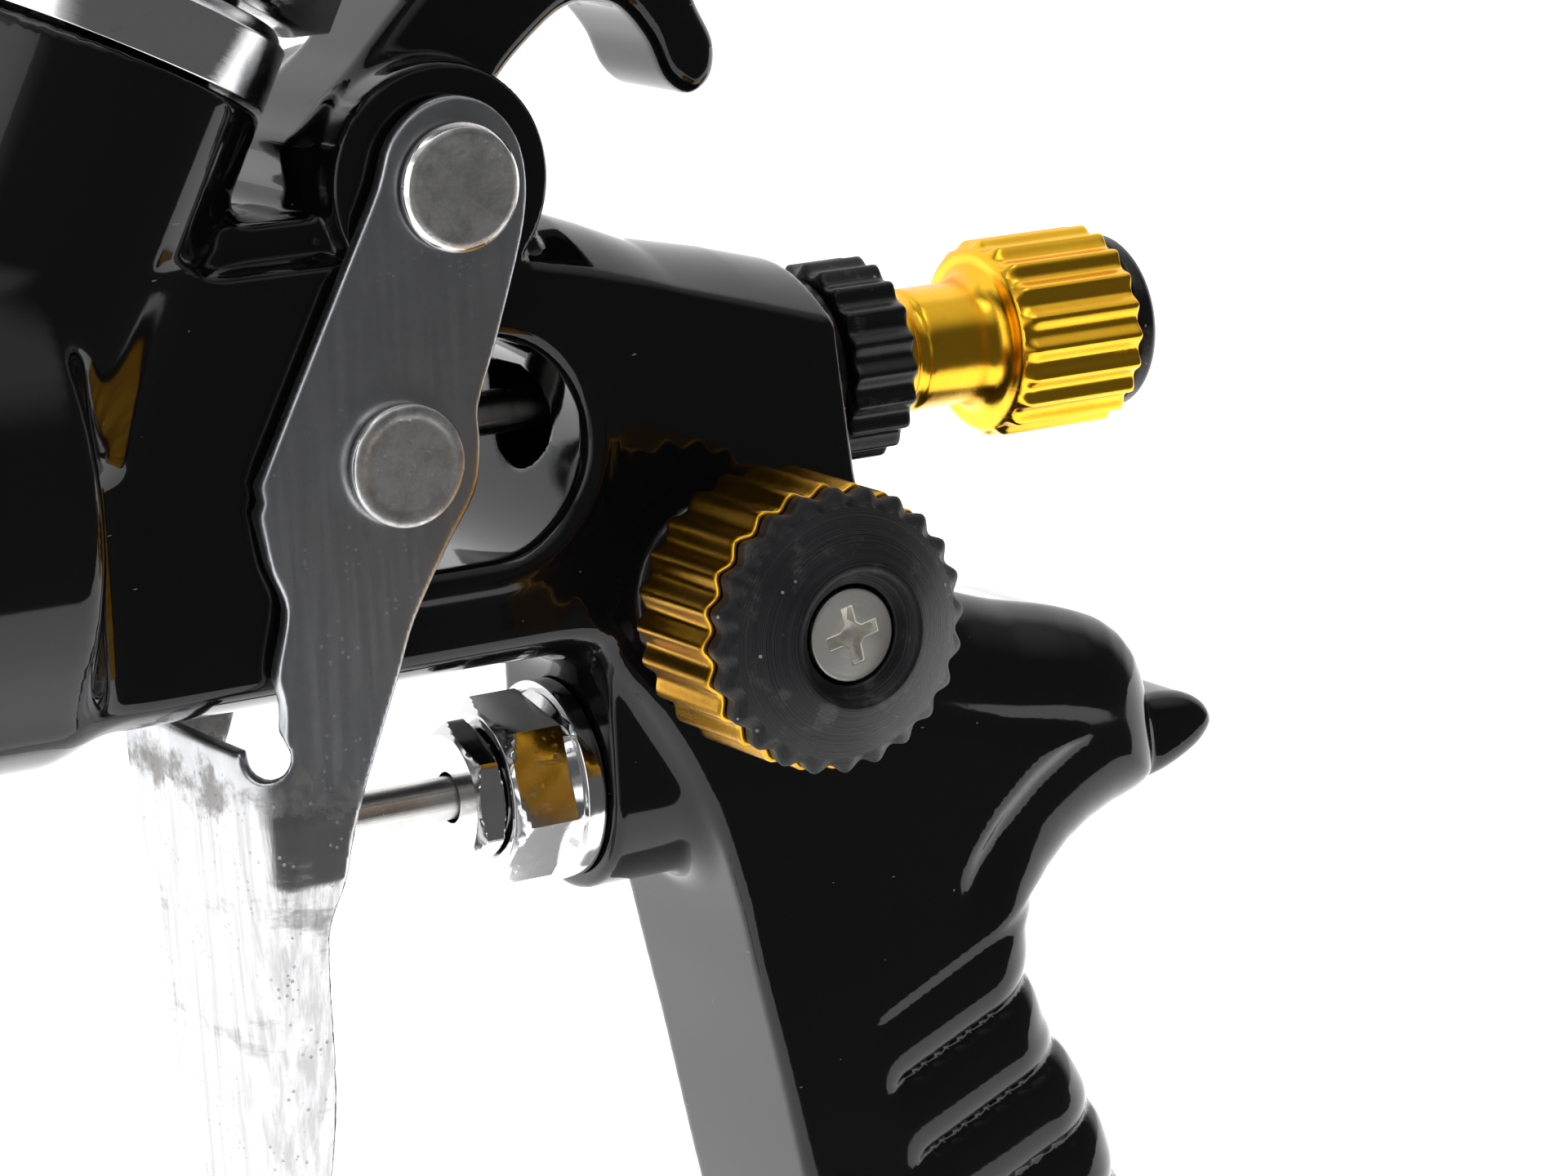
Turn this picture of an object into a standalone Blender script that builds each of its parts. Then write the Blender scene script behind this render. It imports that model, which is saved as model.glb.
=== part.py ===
"""Gravity-feed spray gun with a top cup, a pull trigger and two control knobs.

Metres, +Z up. X runs back from the nozzle along the needle, and Y across the gun. The design is
laid out about the needle axis, and one empty then sets the origin on the air inlet's end face.
"""

import math

import bmesh
import bpy
from mathutils import Matrix, Vector

GAP = 0.0003  # clearance between pieces that touch
SLACK = 0.0006  # side clearance of the trigger on the body
OVER = 0.0020  # how far a cutter reaches past the face that it opens
SPRING_WIRE_R = 0.00035
SPRING_ROOM = 0.0011
SPRING_TURNS = 5

# Body
BODY_HALF = 0.0105
HANDLE_HALF = 0.0112
HANDLE_BOTTOM = -0.112
HEAD_R = 0.0197
HEAD_BACK = -0.033
HEAD_FRONT = -0.046
SPIGOT_R = 0.0175
SPIGOT_LENGTH = 0.006
HUB_R = 0.0075
PASSAGE_R = 0.0028
PASSAGE_Z = -0.0140
WINDOW_R = 0.00855
WINDOW_Z = -0.00075
WINDOW_ENDS = (-0.0034, 0.00245)
HOOK_HALF = 0.0065
BOSS_R = 0.0090
REAR_FACE = 0.0345
CAST_ROUND = 0.0012
HEAD_EDGE = 0.0030
HEAD_COVE = 0.0020
HEAD_COVE_R = 0.0150
HEAD_TAIL = 0.0060
HEAD_TAIL_R = 0.0120
HUB_SHORT = 0.0020
PAINT_WAY_R = 0.0034
PAINT_WAY_END = -0.0280
AIR_WAY_END = 0.0223
WAY_R = 0.0038
WAY_LAP = 0.0020

# Front end
POCKET_R = 0.0145
CAP_R = 0.0146
CAP_FLANGE_R = 0.0168
CAP_RING_R = 0.0210
CAP_SHOULDER = -0.0586
CAP_WALL = 0.0021
CAP_FLANGE = 0.0020
CAP_PROUD = 0.0001
CAP_FACE_R = 0.0060
CAP_HOLE_R = 0.0031
CAP_INSIDE = -0.0570
CAP_RING_FLUTES = 24
CAP_RING_FLUTE = 0.0005
RING_LIP = 0.0032
CLIP_SET_BACK = 0.0005
CLIP_THICK = 0.0006
CLIP_EASE = 0.0001
HORN_HALF = 0.0036
HORN_IN = 0.0080
HORN_BEND = -0.0652
HORN_TIP = -0.0712
HORN_TIP_IN = 0.0104
HORN_TIP_OUT = 0.0126
HORN_PORT_X = -0.0685
HORN_PORT_IN = 0.0040
HORN_PORT_OUT = 0.0110
HORN_PORT_R = 0.0009
BAFFLE_SINK = 0.0030
BAFFLE_HOLE_R = 0.0014
NOZZLE_R = 0.0060
NOZZLE_CONE = -0.0580
NOZZLE_GRIP = 0.0045
NOZZLE_SHANK_R = 0.0045
NOZZLE_END = -0.0420
TIP_R = 0.0022
TIP_BACK_R = 0.0027
TIP_LENGTH = 0.0036
TIP_BORE_SHARE = 0.45
PAINT_ROOM = 0.0008

# Needle and its controls
NEEDLE_R = 0.00175
NEEDLE_TIP = -0.0640
NEEDLE_END = 0.0500
NEEDLE_TAPER = 0.0070
POINT_SHARE = 0.2
TAIL_STEP = 0.0005
FLANGE_THICK = 0.0014
COLLAR_R = 0.0036
COLLAR_LENGTH = 0.0050
COLLAR_BAY = 0.0105
COLLAR_BAY_R = 0.0046
PACKING_R = 0.0037
PACKING_SEAT = -0.0210
PACKING_END = -0.0178
PACKING_OPEN = -0.0100
SEAT_THICK = 0.0008
BUSHING_R = 0.0070
BUSHING_LIP = 0.0018
BUSHING_SHANK_R = 0.0060
BUSHING_SEAT = 0.0180
NECK_R = 0.0050
NECK_START = 0.0260
NEEDLE_FLANGE = 0.0370
KNOB_R = 0.00818
KNOB_FRONT = 0.05292
KNOB_LENGTH = 0.01145
KNOB_BORE_R = 0.0033
KNOB_BORE_END = 0.0580
KNOB_CAP_R = 0.00721
KNOB_CAP_LENGTH = 0.00235
KNOB_FLUTES = 20
KNOB_FLUTE = 0.00055
KNOB_FLOOR = 0.0020
CAP_CHAMFER = 0.0008
GROOVE_DEPTH = 0.0003
GROOVE_WIDTH = 0.0012
NECK_FILLET = 0.0012
RING_BACK = 0.04259

# Trigger
PLATE = 0.0015
TRIGGER_HALF = BODY_HALF + SLACK + PLATE
TRIGGER_TIP_HALF = 0.0062
PIVOT = Vector((0.0, 0.0, 0.0198))
PIVOT_R = 0.0024
PIVOT_HEAD_R = 0.00485
YOKE = Vector((-0.00576, 0.0, -0.00023))
YOKE_R = 0.0046
YOKE_END_R = 0.0022
YOKE_HEAD_R = 0.00466
HEAD_PROUD = 0.00136
WEB_TOP = -0.0212
WEB_INSIDE = -0.0182

# Air valve
VALVE_Z = -0.02992
VALVE_FACE = 0.0128
VALVE_BORE_R = 0.0063
VALVE_FLANGE_R = 0.00797
VALVE_HEX = 0.0130
PACKING_HEX = 0.0105
STEM_R = 0.00172
SEAT_X = 0.0190
POPPET_R = 0.0052
POPPET_LENGTH = 0.0016
VALVE_BORE_END = 0.0390
RISER_X = 0.0160
RISER_R = 0.0022
VALVE_WALL = 0.0028
VALVE_BOSS_LENGTH = 0.0200
VALVE_FLANGE = 0.0016
VALVE_HEX_FRONT = 0.0053
VALVE_HEX_TURN = math.radians(12)
PACKING_HEX_TURN = math.radians(25)
PACKING_NUT_THICK = 0.0023
PACKING_NUT_REACH = 0.0040
PACKING_FLOOR = 0.0113
CHAMBER = 0.0130
CHAMBER_R = 0.0034
STEM_TAIL = 0.0060

# Fan control
FAN = Vector((0.02176, 0.0, -0.01441))
FAN_R = 0.0110
FAN_FLUTES = 24
FAN_BACK = -0.01698
FAN_GOLD_FRONT = -0.0270
FAN_RIM = -0.02886
FAN_CONE = 0.00273
FAN_FACE_R = 0.00499
FAN_SCREW_R = 0.00354
FAN_SINK = 0.00123
SPINDLE_R = 0.0020
FAN_FLUTE = 0.0007
FAN_BOSS_R = 0.0088
FAN_BOSS_END = BODY_HALF + 0.0030
FAN_SEAT = -0.0010
FAN_WAY_DEPTH = 0.0060
CONE_SWELL = 0.62
GLAND_R = 0.0043
GLAND_HEAD_R = 0.0072
GLAND_FRONT = 0.0062
SCREW_SHANK_R = 0.0015
SCREW_HEAD = 0.0020
SCREW_REACH = 0.0070
CROSS_LENGTH = 0.0021
CROSS_WIDTH = 0.0004
CROSS_DEPTH = 0.0013
SPINDLE_DEPTH = 0.0048
SPINDLE_SEAL = 0.0012
SEAL_THICK = 0.0014

# Cup
CUP_TILT = math.radians(27)
CUP_BASE = Vector((-0.0230, 0.0, 0.0310))
CUP_BOSS_R = 0.0134
NIPPLE_R = 0.0090
CUP_HEX = 0.0280
CUP_R = 0.0410
CUP_WALL = 0.0014
CUP_NECK_R = 0.0130
CUP_NECK_BOTTOM = 0.0168
FUNNEL_BOTTOM = 0.0260
FUNNEL_TOP = 0.0470
CUP_RIM = 0.1200
CUP_BOSS_DEPTH = 0.0300
CUP_TURN = 0.0026
CUP_HEX_TURN = math.radians(15)
COLLAR_DEPTH = 0.0072
COLLAR_TOP = 0.0062
COLLAR_CHAMFER = 0.0012
NIPPLE_TOP = 0.0155
PORT_R = 0.0036
PORT_DEPTH = 0.0350
THROAT_WALL = 0.0005
CONNECTOR_BORE_R = 0.0060
STRAINER_R = 0.0066
STRAINER_TOP_R = 0.0050
STRAINER_RIM_R = 0.0092
STRAINER_WALL = 0.0007
STRAINER_RIM = 0.0010
STRAINER_HEIGHT = 0.0160
STRAINER_SINK = 0.0010
GASKET_THICK = 0.0008
GASKET_WIDTH = 0.0040
LID_THICK = 0.0022
LID_SKIRT = 0.0115
LID_WALL = 0.0026
LID_FLUTES = 24
LID_FLUTE = 0.0008
VENT_Y = 0.0150
VENT_R = 0.0018
PLUG_R = 0.0048
PLUG_HEIGHT = 0.0048
PLUG_CHAMFER = 0.0012
PLUG_DEPTH = 0.0030

# Air inlet
INLET_X = 0.0560
INLET_R = 0.0064
INLET_HEX = 0.0170
INLET_LENGTH = 0.0180
INLET_HEX_LENGTH = 0.0050
INLET_BORE_DEPTH = 0.0150
INLET_WALL = 0.0029
FITTING_DEPTH = 0.0130
WASHER_THICK = 0.0010

CUP_AXIS = Vector((math.sin(CUP_TILT), 0.0, math.cos(CUP_TILT)))
X_AXIS = Vector((1, 0, 0))
Y_AXIS = Vector((0, 1, 0))
Z_AXIS = Vector((0, 0, 1))
OUTWARD = -Y_AXIS
NO_OFFSET = Vector()
VALVE_ORIGIN = Vector((0, 0, VALVE_Z))
INLET_FACE = Vector((INLET_X, 0, HANDLE_BOTTOM))
ORIGIN = Vector((INLET_X, 0, HANDLE_BOTTOM - INLET_LENGTH))


def clear_scene():
    for obj in list(bpy.data.objects):
        bpy.data.objects.remove(obj, do_unlink=True)


def collection(name):
    made = bpy.data.collections.new(name)
    bpy.context.scene.collection.children.link(made)
    return made


clear_scene()
PARTS = collection("spray_gun")
CUTTERS = collection("cutters")
ROOT = bpy.data.objects.new("inlet_origin", None)
ROOT.location = -ORIGIN
PARTS.objects.link(ROOT)


def finish(name, colour, roughness, metallic):
    material = bpy.data.materials.new(name)
    material.use_nodes = True
    shader = material.node_tree.nodes["Principled BSDF"]
    shader.inputs["Base Color"].default_value = (*colour, 1.0)
    shader.inputs["Roughness"].default_value = roughness
    shader.inputs["Metallic"].default_value = metallic
    return material


PAINT = finish("gloss_black_paint", (0.012, 0.012, 0.014), 0.12, 0.0)
CHROME = finish("chrome", (0.80, 0.80, 0.80), 0.15, 1.0)
STEEL = finish("polished_steel", (0.55, 0.54, 0.53), 0.22, 1.0)
GOLD = finish("gold_anodised", (0.90, 0.62, 0.14), 0.25, 1.0)
AMBER = finish("amber_anodised", (0.62, 0.40, 0.10), 0.30, 1.0)
DARK = finish("black_anodised", (0.03, 0.03, 0.04), 0.35, 0.9)
BRASS = finish("brass", (0.80, 0.60, 0.28), 0.30, 1.0)
ALUMINIUM = finish("spun_aluminium", (0.75, 0.75, 0.76), 0.35, 1.0)
PLASTIC = finish("black_plastic", (0.02, 0.02, 0.02), 0.45, 0.0)
SEAL = finish("seal_plastic", (0.85, 0.83, 0.78), 0.50, 0.0)


def aimed(direction):
    """The turn that takes local Z along the direction, and local Y as near to up as it goes."""
    up = Y_AXIS if abs(direction.z) > 0.99 else Z_AXIS
    across = up.cross(direction).normalized()
    return Matrix((across, direction.cross(across), direction)).transposed().to_quaternion()


def place(name, mesh, location, direction, material):
    """An object of this mesh with its local Z along the direction. Without a material it is a helper."""
    obj = bpy.data.objects.new(name, mesh)
    obj.location = location
    obj.rotation_mode = "QUATERNION"
    obj.rotation_quaternion = aimed(direction)
    obj.parent = ROOT
    if material is None:
        CUTTERS.objects.link(obj)
        obj.hide_render = True
        obj.display_type = "WIRE"
        return obj
    PARTS.objects.link(obj)
    mesh.materials.append(material)
    mesh.shade_smooth()
    mesh.set_sharp_from_angle(angle=math.radians(35))
    return obj


def turned(name, profile, location, direction, material, steps=24, ring=False):
    """A turned piece from (distance along, radius) points. A ring's profile is a closed loop."""
    outline = bmesh.new()
    points = [outline.verts.new((radius, 0, along)) for along, radius in reversed(profile)]
    for first, second in zip(points, points[1:]):
        outline.edges.new((first, second))
    if ring:
        outline.edges.new((points[-1], points[0]))
    mesh = bpy.data.meshes.new(name)
    outline.to_mesh(mesh)
    outline.free()
    obj = place(name, mesh, location, direction, material)
    screw = obj.modifiers.new("Turn", "SCREW")
    screw.steps = screw.render_steps = steps
    screw.use_merge_vertices = True
    screw.merge_threshold = 1e-6
    screw.use_smooth_shade = True
    return obj


def rod(name, start, end, radius, location, direction, material=None, steps=20):
    profile = ((start, 0.0), (start, radius), (end, radius), (end, 0.0))
    return turned(name, profile, location, direction, material, steps)


def bush(name, start, end, outer, inner, location, direction, material, steps=24):
    profile = ((start, outer), (end, outer), (end, inner), (start, inner))
    return turned(name, profile, location, direction, material, steps, ring=True)


def prism(name, outline, start, end, location, direction, material=None, soft=()):
    """A flat outline pushed from start to end along the direction. Points in soft are rounded through."""
    curve = bpy.data.curves.new(name, "CURVE")
    curve.dimensions = "2D"
    curve.fill_mode = "BOTH"
    curve.extrude = (end - start) / 2
    curve.resolution_u = 3
    spline = curve.splines.new("BEZIER")
    spline.bezier_points.add(len(outline) - 1)
    for index, (point, (across, up)) in enumerate(zip(spline.bezier_points, outline)):
        point.co = (across, up, 0)
        kind = "AUTO" if index in soft else "VECTOR"
        point.handle_left_type = point.handle_right_type = kind
    spline.use_cyclic_u = True
    holder = bpy.data.objects.new(name, curve)
    bpy.context.scene.collection.objects.link(holder)
    shaped = holder.evaluated_get(bpy.context.evaluated_depsgraph_get())
    mesh = bpy.data.meshes.new_from_object(shaped)
    bpy.data.objects.remove(holder)
    bpy.data.curves.remove(curve)
    welded = bmesh.new()
    welded.from_mesh(mesh)
    bmesh.ops.translate(welded, verts=welded.verts, vec=(0, 0, (start + end) / 2))
    bmesh.ops.remove_doubles(welded, verts=welded.verts, dist=1e-6)
    bmesh.ops.recalc_face_normals(welded, faces=welded.faces)
    welded.to_mesh(mesh)
    welded.free()
    mesh.name = name
    return place(name, mesh, location, direction, material)


def side_plate(name, outline, start, end, material=None, soft=(), about=Vector()):
    """A prism whose outline is given in X and Z about a point, and pushed across the gun."""
    return prism(name, outline, start, end, about, OUTWARD, material, soft)


def face_plate(name, outline, start, end, material=None, soft=()):
    """A prism whose outline is given in Y and Z, and pushed along X."""
    return prism(name, outline, start, end, NO_OFFSET, X_AXIS, material, soft)


def regular(count, radius, phase=0.0):
    turn = math.tau / count
    return [
        (radius * math.cos(i * turn + phase), radius * math.sin(i * turn + phase))
        for i in range(count)
    ]


def hexagon(across_flats, phase=0.0):
    return regular(6, across_flats / math.sqrt(3), phase)


def fluted_outline(radius, flutes, depth, points=3):
    """A round outline with scooped flutes, which leave rounded ridges between them."""
    outline = []
    for i in range(flutes * points):
        angle = math.tau * i / (flutes * points)
        scoop = 0.5 - 0.5 * math.cos(angle * flutes)
        reach = radius - depth * scoop
        outline.append((reach * math.cos(angle), reach * math.sin(angle)))
    return outline


def change(obj, operation, *others):
    for other in others:
        boolean = obj.modifiers.new(other.name, "BOOLEAN")
        boolean.operation = operation
        boolean.solver = "EXACT"
        boolean.object = other
    return obj


def cut(obj, *others):
    return change(obj, "DIFFERENCE", *others)


def join(obj, *others):
    return change(obj, "UNION", *others)


def rounded(obj, width, segments=2, angle=40):
    bevel = obj.modifiers.new("Rounded edges", "BEVEL")
    bevel.width = width
    bevel.segments = segments
    bevel.limit_method = "ANGLE"
    bevel.angle_limit = math.radians(angle)
    return obj


def coil(name, start, end, radius, turns, location, direction, material):
    """A compression spring as a wire that follows a helix, with 9 points a turn."""
    curve = bpy.data.curves.new(name, "CURVE")
    curve.dimensions = "3D"
    curve.bevel_depth = SPRING_WIRE_R
    curve.bevel_resolution = 2
    curve.use_fill_caps = True
    count = int(turns * 9)
    spline = curve.splines.new("POLY")
    spline.points.add(count)
    for i, point in enumerate(spline.points):
        angle = math.tau * turns * i / count
        along = start + (end - start) * i / count
        point.co = (radius * math.cos(angle), radius * math.sin(angle), along, 1)
    obj = bpy.data.objects.new(name, curve)
    obj.location = location
    obj.rotation_mode = "QUATERNION"
    obj.rotation_quaternion = aimed(direction)
    obj.parent = ROOT
    PARTS.objects.link(obj)
    curve.materials.append(material)
    return obj


# The outlines below are in X and Z, about the needle axis
BARREL = (
    (-0.0400, -0.0193), (-0.0400, 0.0160), (-0.0110, 0.0160), (-0.0075, 0.0200), (0.0090, 0.0200),
    (0.0121, 0.0158), (0.0199, 0.0128), (0.0272, 0.0108), (REAR_FACE, 0.0085), (REAR_FACE, -0.0100),
    (0.0370, -0.0170), (0.0300, -0.0230), (0.0130, -0.0193),
)
HOOK = (
    (-0.0080, 0.0190), (-0.0069, 0.0244), (0.0009, 0.0320), (0.0065, 0.0372), (0.0140, 0.0408),
    (0.0205, 0.0390), (0.0238, 0.0330), (0.0252, 0.0266), (0.0234, 0.0234), (0.0213, 0.0246),
    (0.0192, 0.0290), (0.0152, 0.0318), (0.0100, 0.0302), (0.0058, 0.0262), (0.0040, 0.0190),
)
HANDLE = (
    (0.0109, -0.0150), (0.0146, -0.0215), (0.0200, -0.0310), (0.0232, -0.0408), (0.0259, -0.0535),
    (0.0292, -0.0700), (0.0340, -0.0910), (0.0400, HANDLE_BOTTOM),
    (0.0700, HANDLE_BOTTOM), (0.0650, -0.0880), (0.0611, -0.0709), (0.0572, -0.0608),
    (0.0531, -0.0530), (0.0544, -0.0450), (0.0628, -0.0401), (0.0744, -0.0374),
    (0.0757, -0.0360), (0.0724, -0.0330), (0.0694, -0.0322), (0.0667, -0.0258), (0.0581, -0.0215),
    (0.0480, -0.0190), (0.0400, -0.0150), (0.0340, -0.0100),
)
HANDLE_SOFT = (*range(1, 7), *range(9, 23))
TRIGGER_FRONT = (
    (-0.0020, 0.0283), (-0.0060, 0.0205), (-0.0093, 0.0147), (-0.0150, 0.0040), (-0.0175, -0.0012),
    (-0.0161, -0.0096), (-0.0169, -0.0147), (-0.0172, -0.0195), (-0.0196, -0.0225),
    (-0.0191, -0.0358), (-0.0187, -0.0586), (-0.0205, -0.0690), (-0.0250, -0.0780),
)
TRIGGER_REAR = (
    (-0.0225, -0.0795), (-0.0175, -0.0700), (-0.0128, -0.0560), (-0.0126, -0.0485), (-0.0134, -0.0354),
    (-0.0111, -0.0269), (-0.0070, -0.0163), (0.0000, -0.0040), (0.0008, 0.0010), (0.0027, 0.0078),
    (0.0056, 0.0165), (0.0057, 0.0221), (0.0028, 0.0272),
)


def make_body():
    barrel = side_plate("barrel_block", BARREL, -BODY_HALF, BODY_HALF, soft=(5, 6, 7))
    rounded(barrel, CAST_ROUND)
    hook = side_plate("hook_arm", HOOK, -HOOK_HALF, HOOK_HALF, soft=range(3, 13))
    boss = rod("pivot_boss", -BODY_HALF, BODY_HALF, BOSS_R, PIVOT, Y_AXIS, steps=36)
    valve_half = VALVE_BORE_R + VALVE_WALL
    arc = [(y, VALVE_Z + z) for y, z in regular(16, valve_half) if z <= 1e-6]
    arc.sort()
    block = [(-valve_half, PASSAGE_Z), *arc, (valve_half, PASSAGE_Z)]
    valve_boss = face_plate("valve_boss", block, VALVE_FACE, VALVE_FACE + VALVE_BOSS_LENGTH)
    head_profile = (
        (HEAD_FRONT - SPIGOT_LENGTH, 0.0), (HEAD_FRONT - SPIGOT_LENGTH, SPIGOT_R),
        (HEAD_FRONT, SPIGOT_R), (HEAD_FRONT, HEAD_R), (HEAD_BACK - HEAD_EDGE, HEAD_R),
        (HEAD_BACK, HEAD_R - CAST_ROUND), (HEAD_BACK + HEAD_COVE, HEAD_COVE_R),
        (HEAD_BACK + HEAD_TAIL, HEAD_TAIL_R), (HEAD_BACK + HEAD_TAIL, 0.0),
    )
    head = turned("head_block", head_profile, NO_OFFSET, X_AXIS, None, steps=40)
    cup_boss = rod("cup_boss", -CUP_BOSS_DEPTH, 0.0, CUP_BOSS_R, CUP_BASE, CUP_AXIS, steps=36)
    fan_boss = rod("fan_boss", BODY_HALF / 2, FAN_BOSS_END, FAN_BOSS_R, FAN, OUTWARD, steps=32)
    body = side_plate("gun_body", HANDLE, -HANDLE_HALF, HANDLE_HALF, PAINT, soft=HANDLE_SOFT)
    join(body, barrel, valve_boss, head, cup_boss, boss, hook, fan_boss)
    return cut(body, *body_cutters())


def body_cutters():
    left, right = WINDOW_ENDS
    half_turn = [(WINDOW_R * math.cos(a), WINDOW_R * math.sin(a))
                 for a in [math.radians(-90 + 15 * i) for i in range(13)]]
    window = [(right + x, WINDOW_Z + z) for x, z in half_turn]
    window += [(left - x, WINDOW_Z - z) for x, z in half_turn]
    reach = 2 * BODY_HALF
    spigot = HEAD_FRONT - SPIGOT_LENGTH
    pocket = (
        (spigot - OVER, 0.0), (spigot - OVER, POCKET_R), (HEAD_FRONT, POCKET_R),
        (HEAD_FRONT, HUB_R), (spigot + HUB_SHORT, HUB_R), (spigot + HUB_SHORT, 0.0),
    )
    rear_bore = (
        (COLLAR_BAY, 0.0), (COLLAR_BAY, COLLAR_BAY_R), (BUSHING_SEAT, COLLAR_BAY_R),
        (BUSHING_SEAT, BUSHING_SHANK_R + GAP), (REAR_FACE + OVER, BUSHING_SHANK_R + GAP),
        (REAR_FACE + OVER, 0.0),
    )
    needle_way = (
        (spigot - OVER, 0.0), (spigot - OVER, NOZZLE_SHANK_R + GAP),
        (NOZZLE_END + GAP, NOZZLE_SHANK_R + GAP), (NOZZLE_END + GAP, PAINT_WAY_R),
        (PAINT_WAY_END, PAINT_WAY_R), (PAINT_WAY_END, NEEDLE_R + GAP), (PACKING_SEAT, NEEDLE_R + GAP),
        (PACKING_SEAT, PACKING_R + GAP), (PACKING_OPEN, PACKING_R + GAP), (PACKING_OPEN, 0.0),
    )
    cup_port = (
        (-PORT_DEPTH, 0.0), (-PORT_DEPTH, PORT_R), (-COLLAR_DEPTH - GAP, PORT_R),
        (-COLLAR_DEPTH - GAP, NIPPLE_R + 2 * GAP), (OVER, NIPPLE_R + 2 * GAP), (OVER, 0.0),
    )
    fan_bore = (
        (-FAN_WAY_DEPTH, 0.0), (-FAN_WAY_DEPTH, SPINDLE_R + GAP), (FAN_SEAT, SPINDLE_R + GAP),
        (FAN_SEAT, GLAND_R + GAP), (FAN_BOSS_END + OVER, GLAND_R + GAP), (FAN_BOSS_END + OVER, 0.0),
    )
    return (
        side_plate("window_cut", window, -reach, reach),
        turned("air_pocket_cut", pocket, NO_OFFSET, X_AXIS, None, 36),
        turned("rear_bore_cut", rear_bore, NO_OFFSET, X_AXIS, None),
        turned("needle_way_cut", needle_way, NO_OFFSET, X_AXIS, None),
        rod("pivot_hole_cut", -reach, reach, PIVOT_R + GAP, PIVOT, Y_AXIS),
        turned("cup_port_cut", cup_port, CUP_BASE, CUP_AXIS, None),
        rod("valve_bore_cut", VALVE_FACE - OVER, VALVE_BORE_END, VALVE_BORE_R, VALVE_ORIGIN, X_AXIS),
        rod("riser_cut", VALVE_Z, PASSAGE_Z, RISER_R, Vector((RISER_X, 0, 0)), Z_AXIS, steps=16),
        rod("air_way_cut", HEAD_FRONT - GAP, AIR_WAY_END, PASSAGE_R, Vector((0, 0, PASSAGE_Z)), X_AXIS),
        turned("fan_bore_cut", fan_bore, FAN, OUTWARD, None),
        rod("inlet_bore_cut", -INLET_BORE_DEPTH, OVER, INLET_R + GAP, INLET_FACE, -Z_AXIS),
        handle_way(),
    )


def handle_way():
    low = Vector((INLET_X, 0, HANDLE_BOTTOM + FITTING_DEPTH - WAY_LAP))
    high = Vector((VALVE_BORE_END - WAY_LAP, 0, VALVE_Z))
    return rod("handle_way_cut", 0.0, (high - low).length, WAY_R, low, (high - low).normalized())


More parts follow.
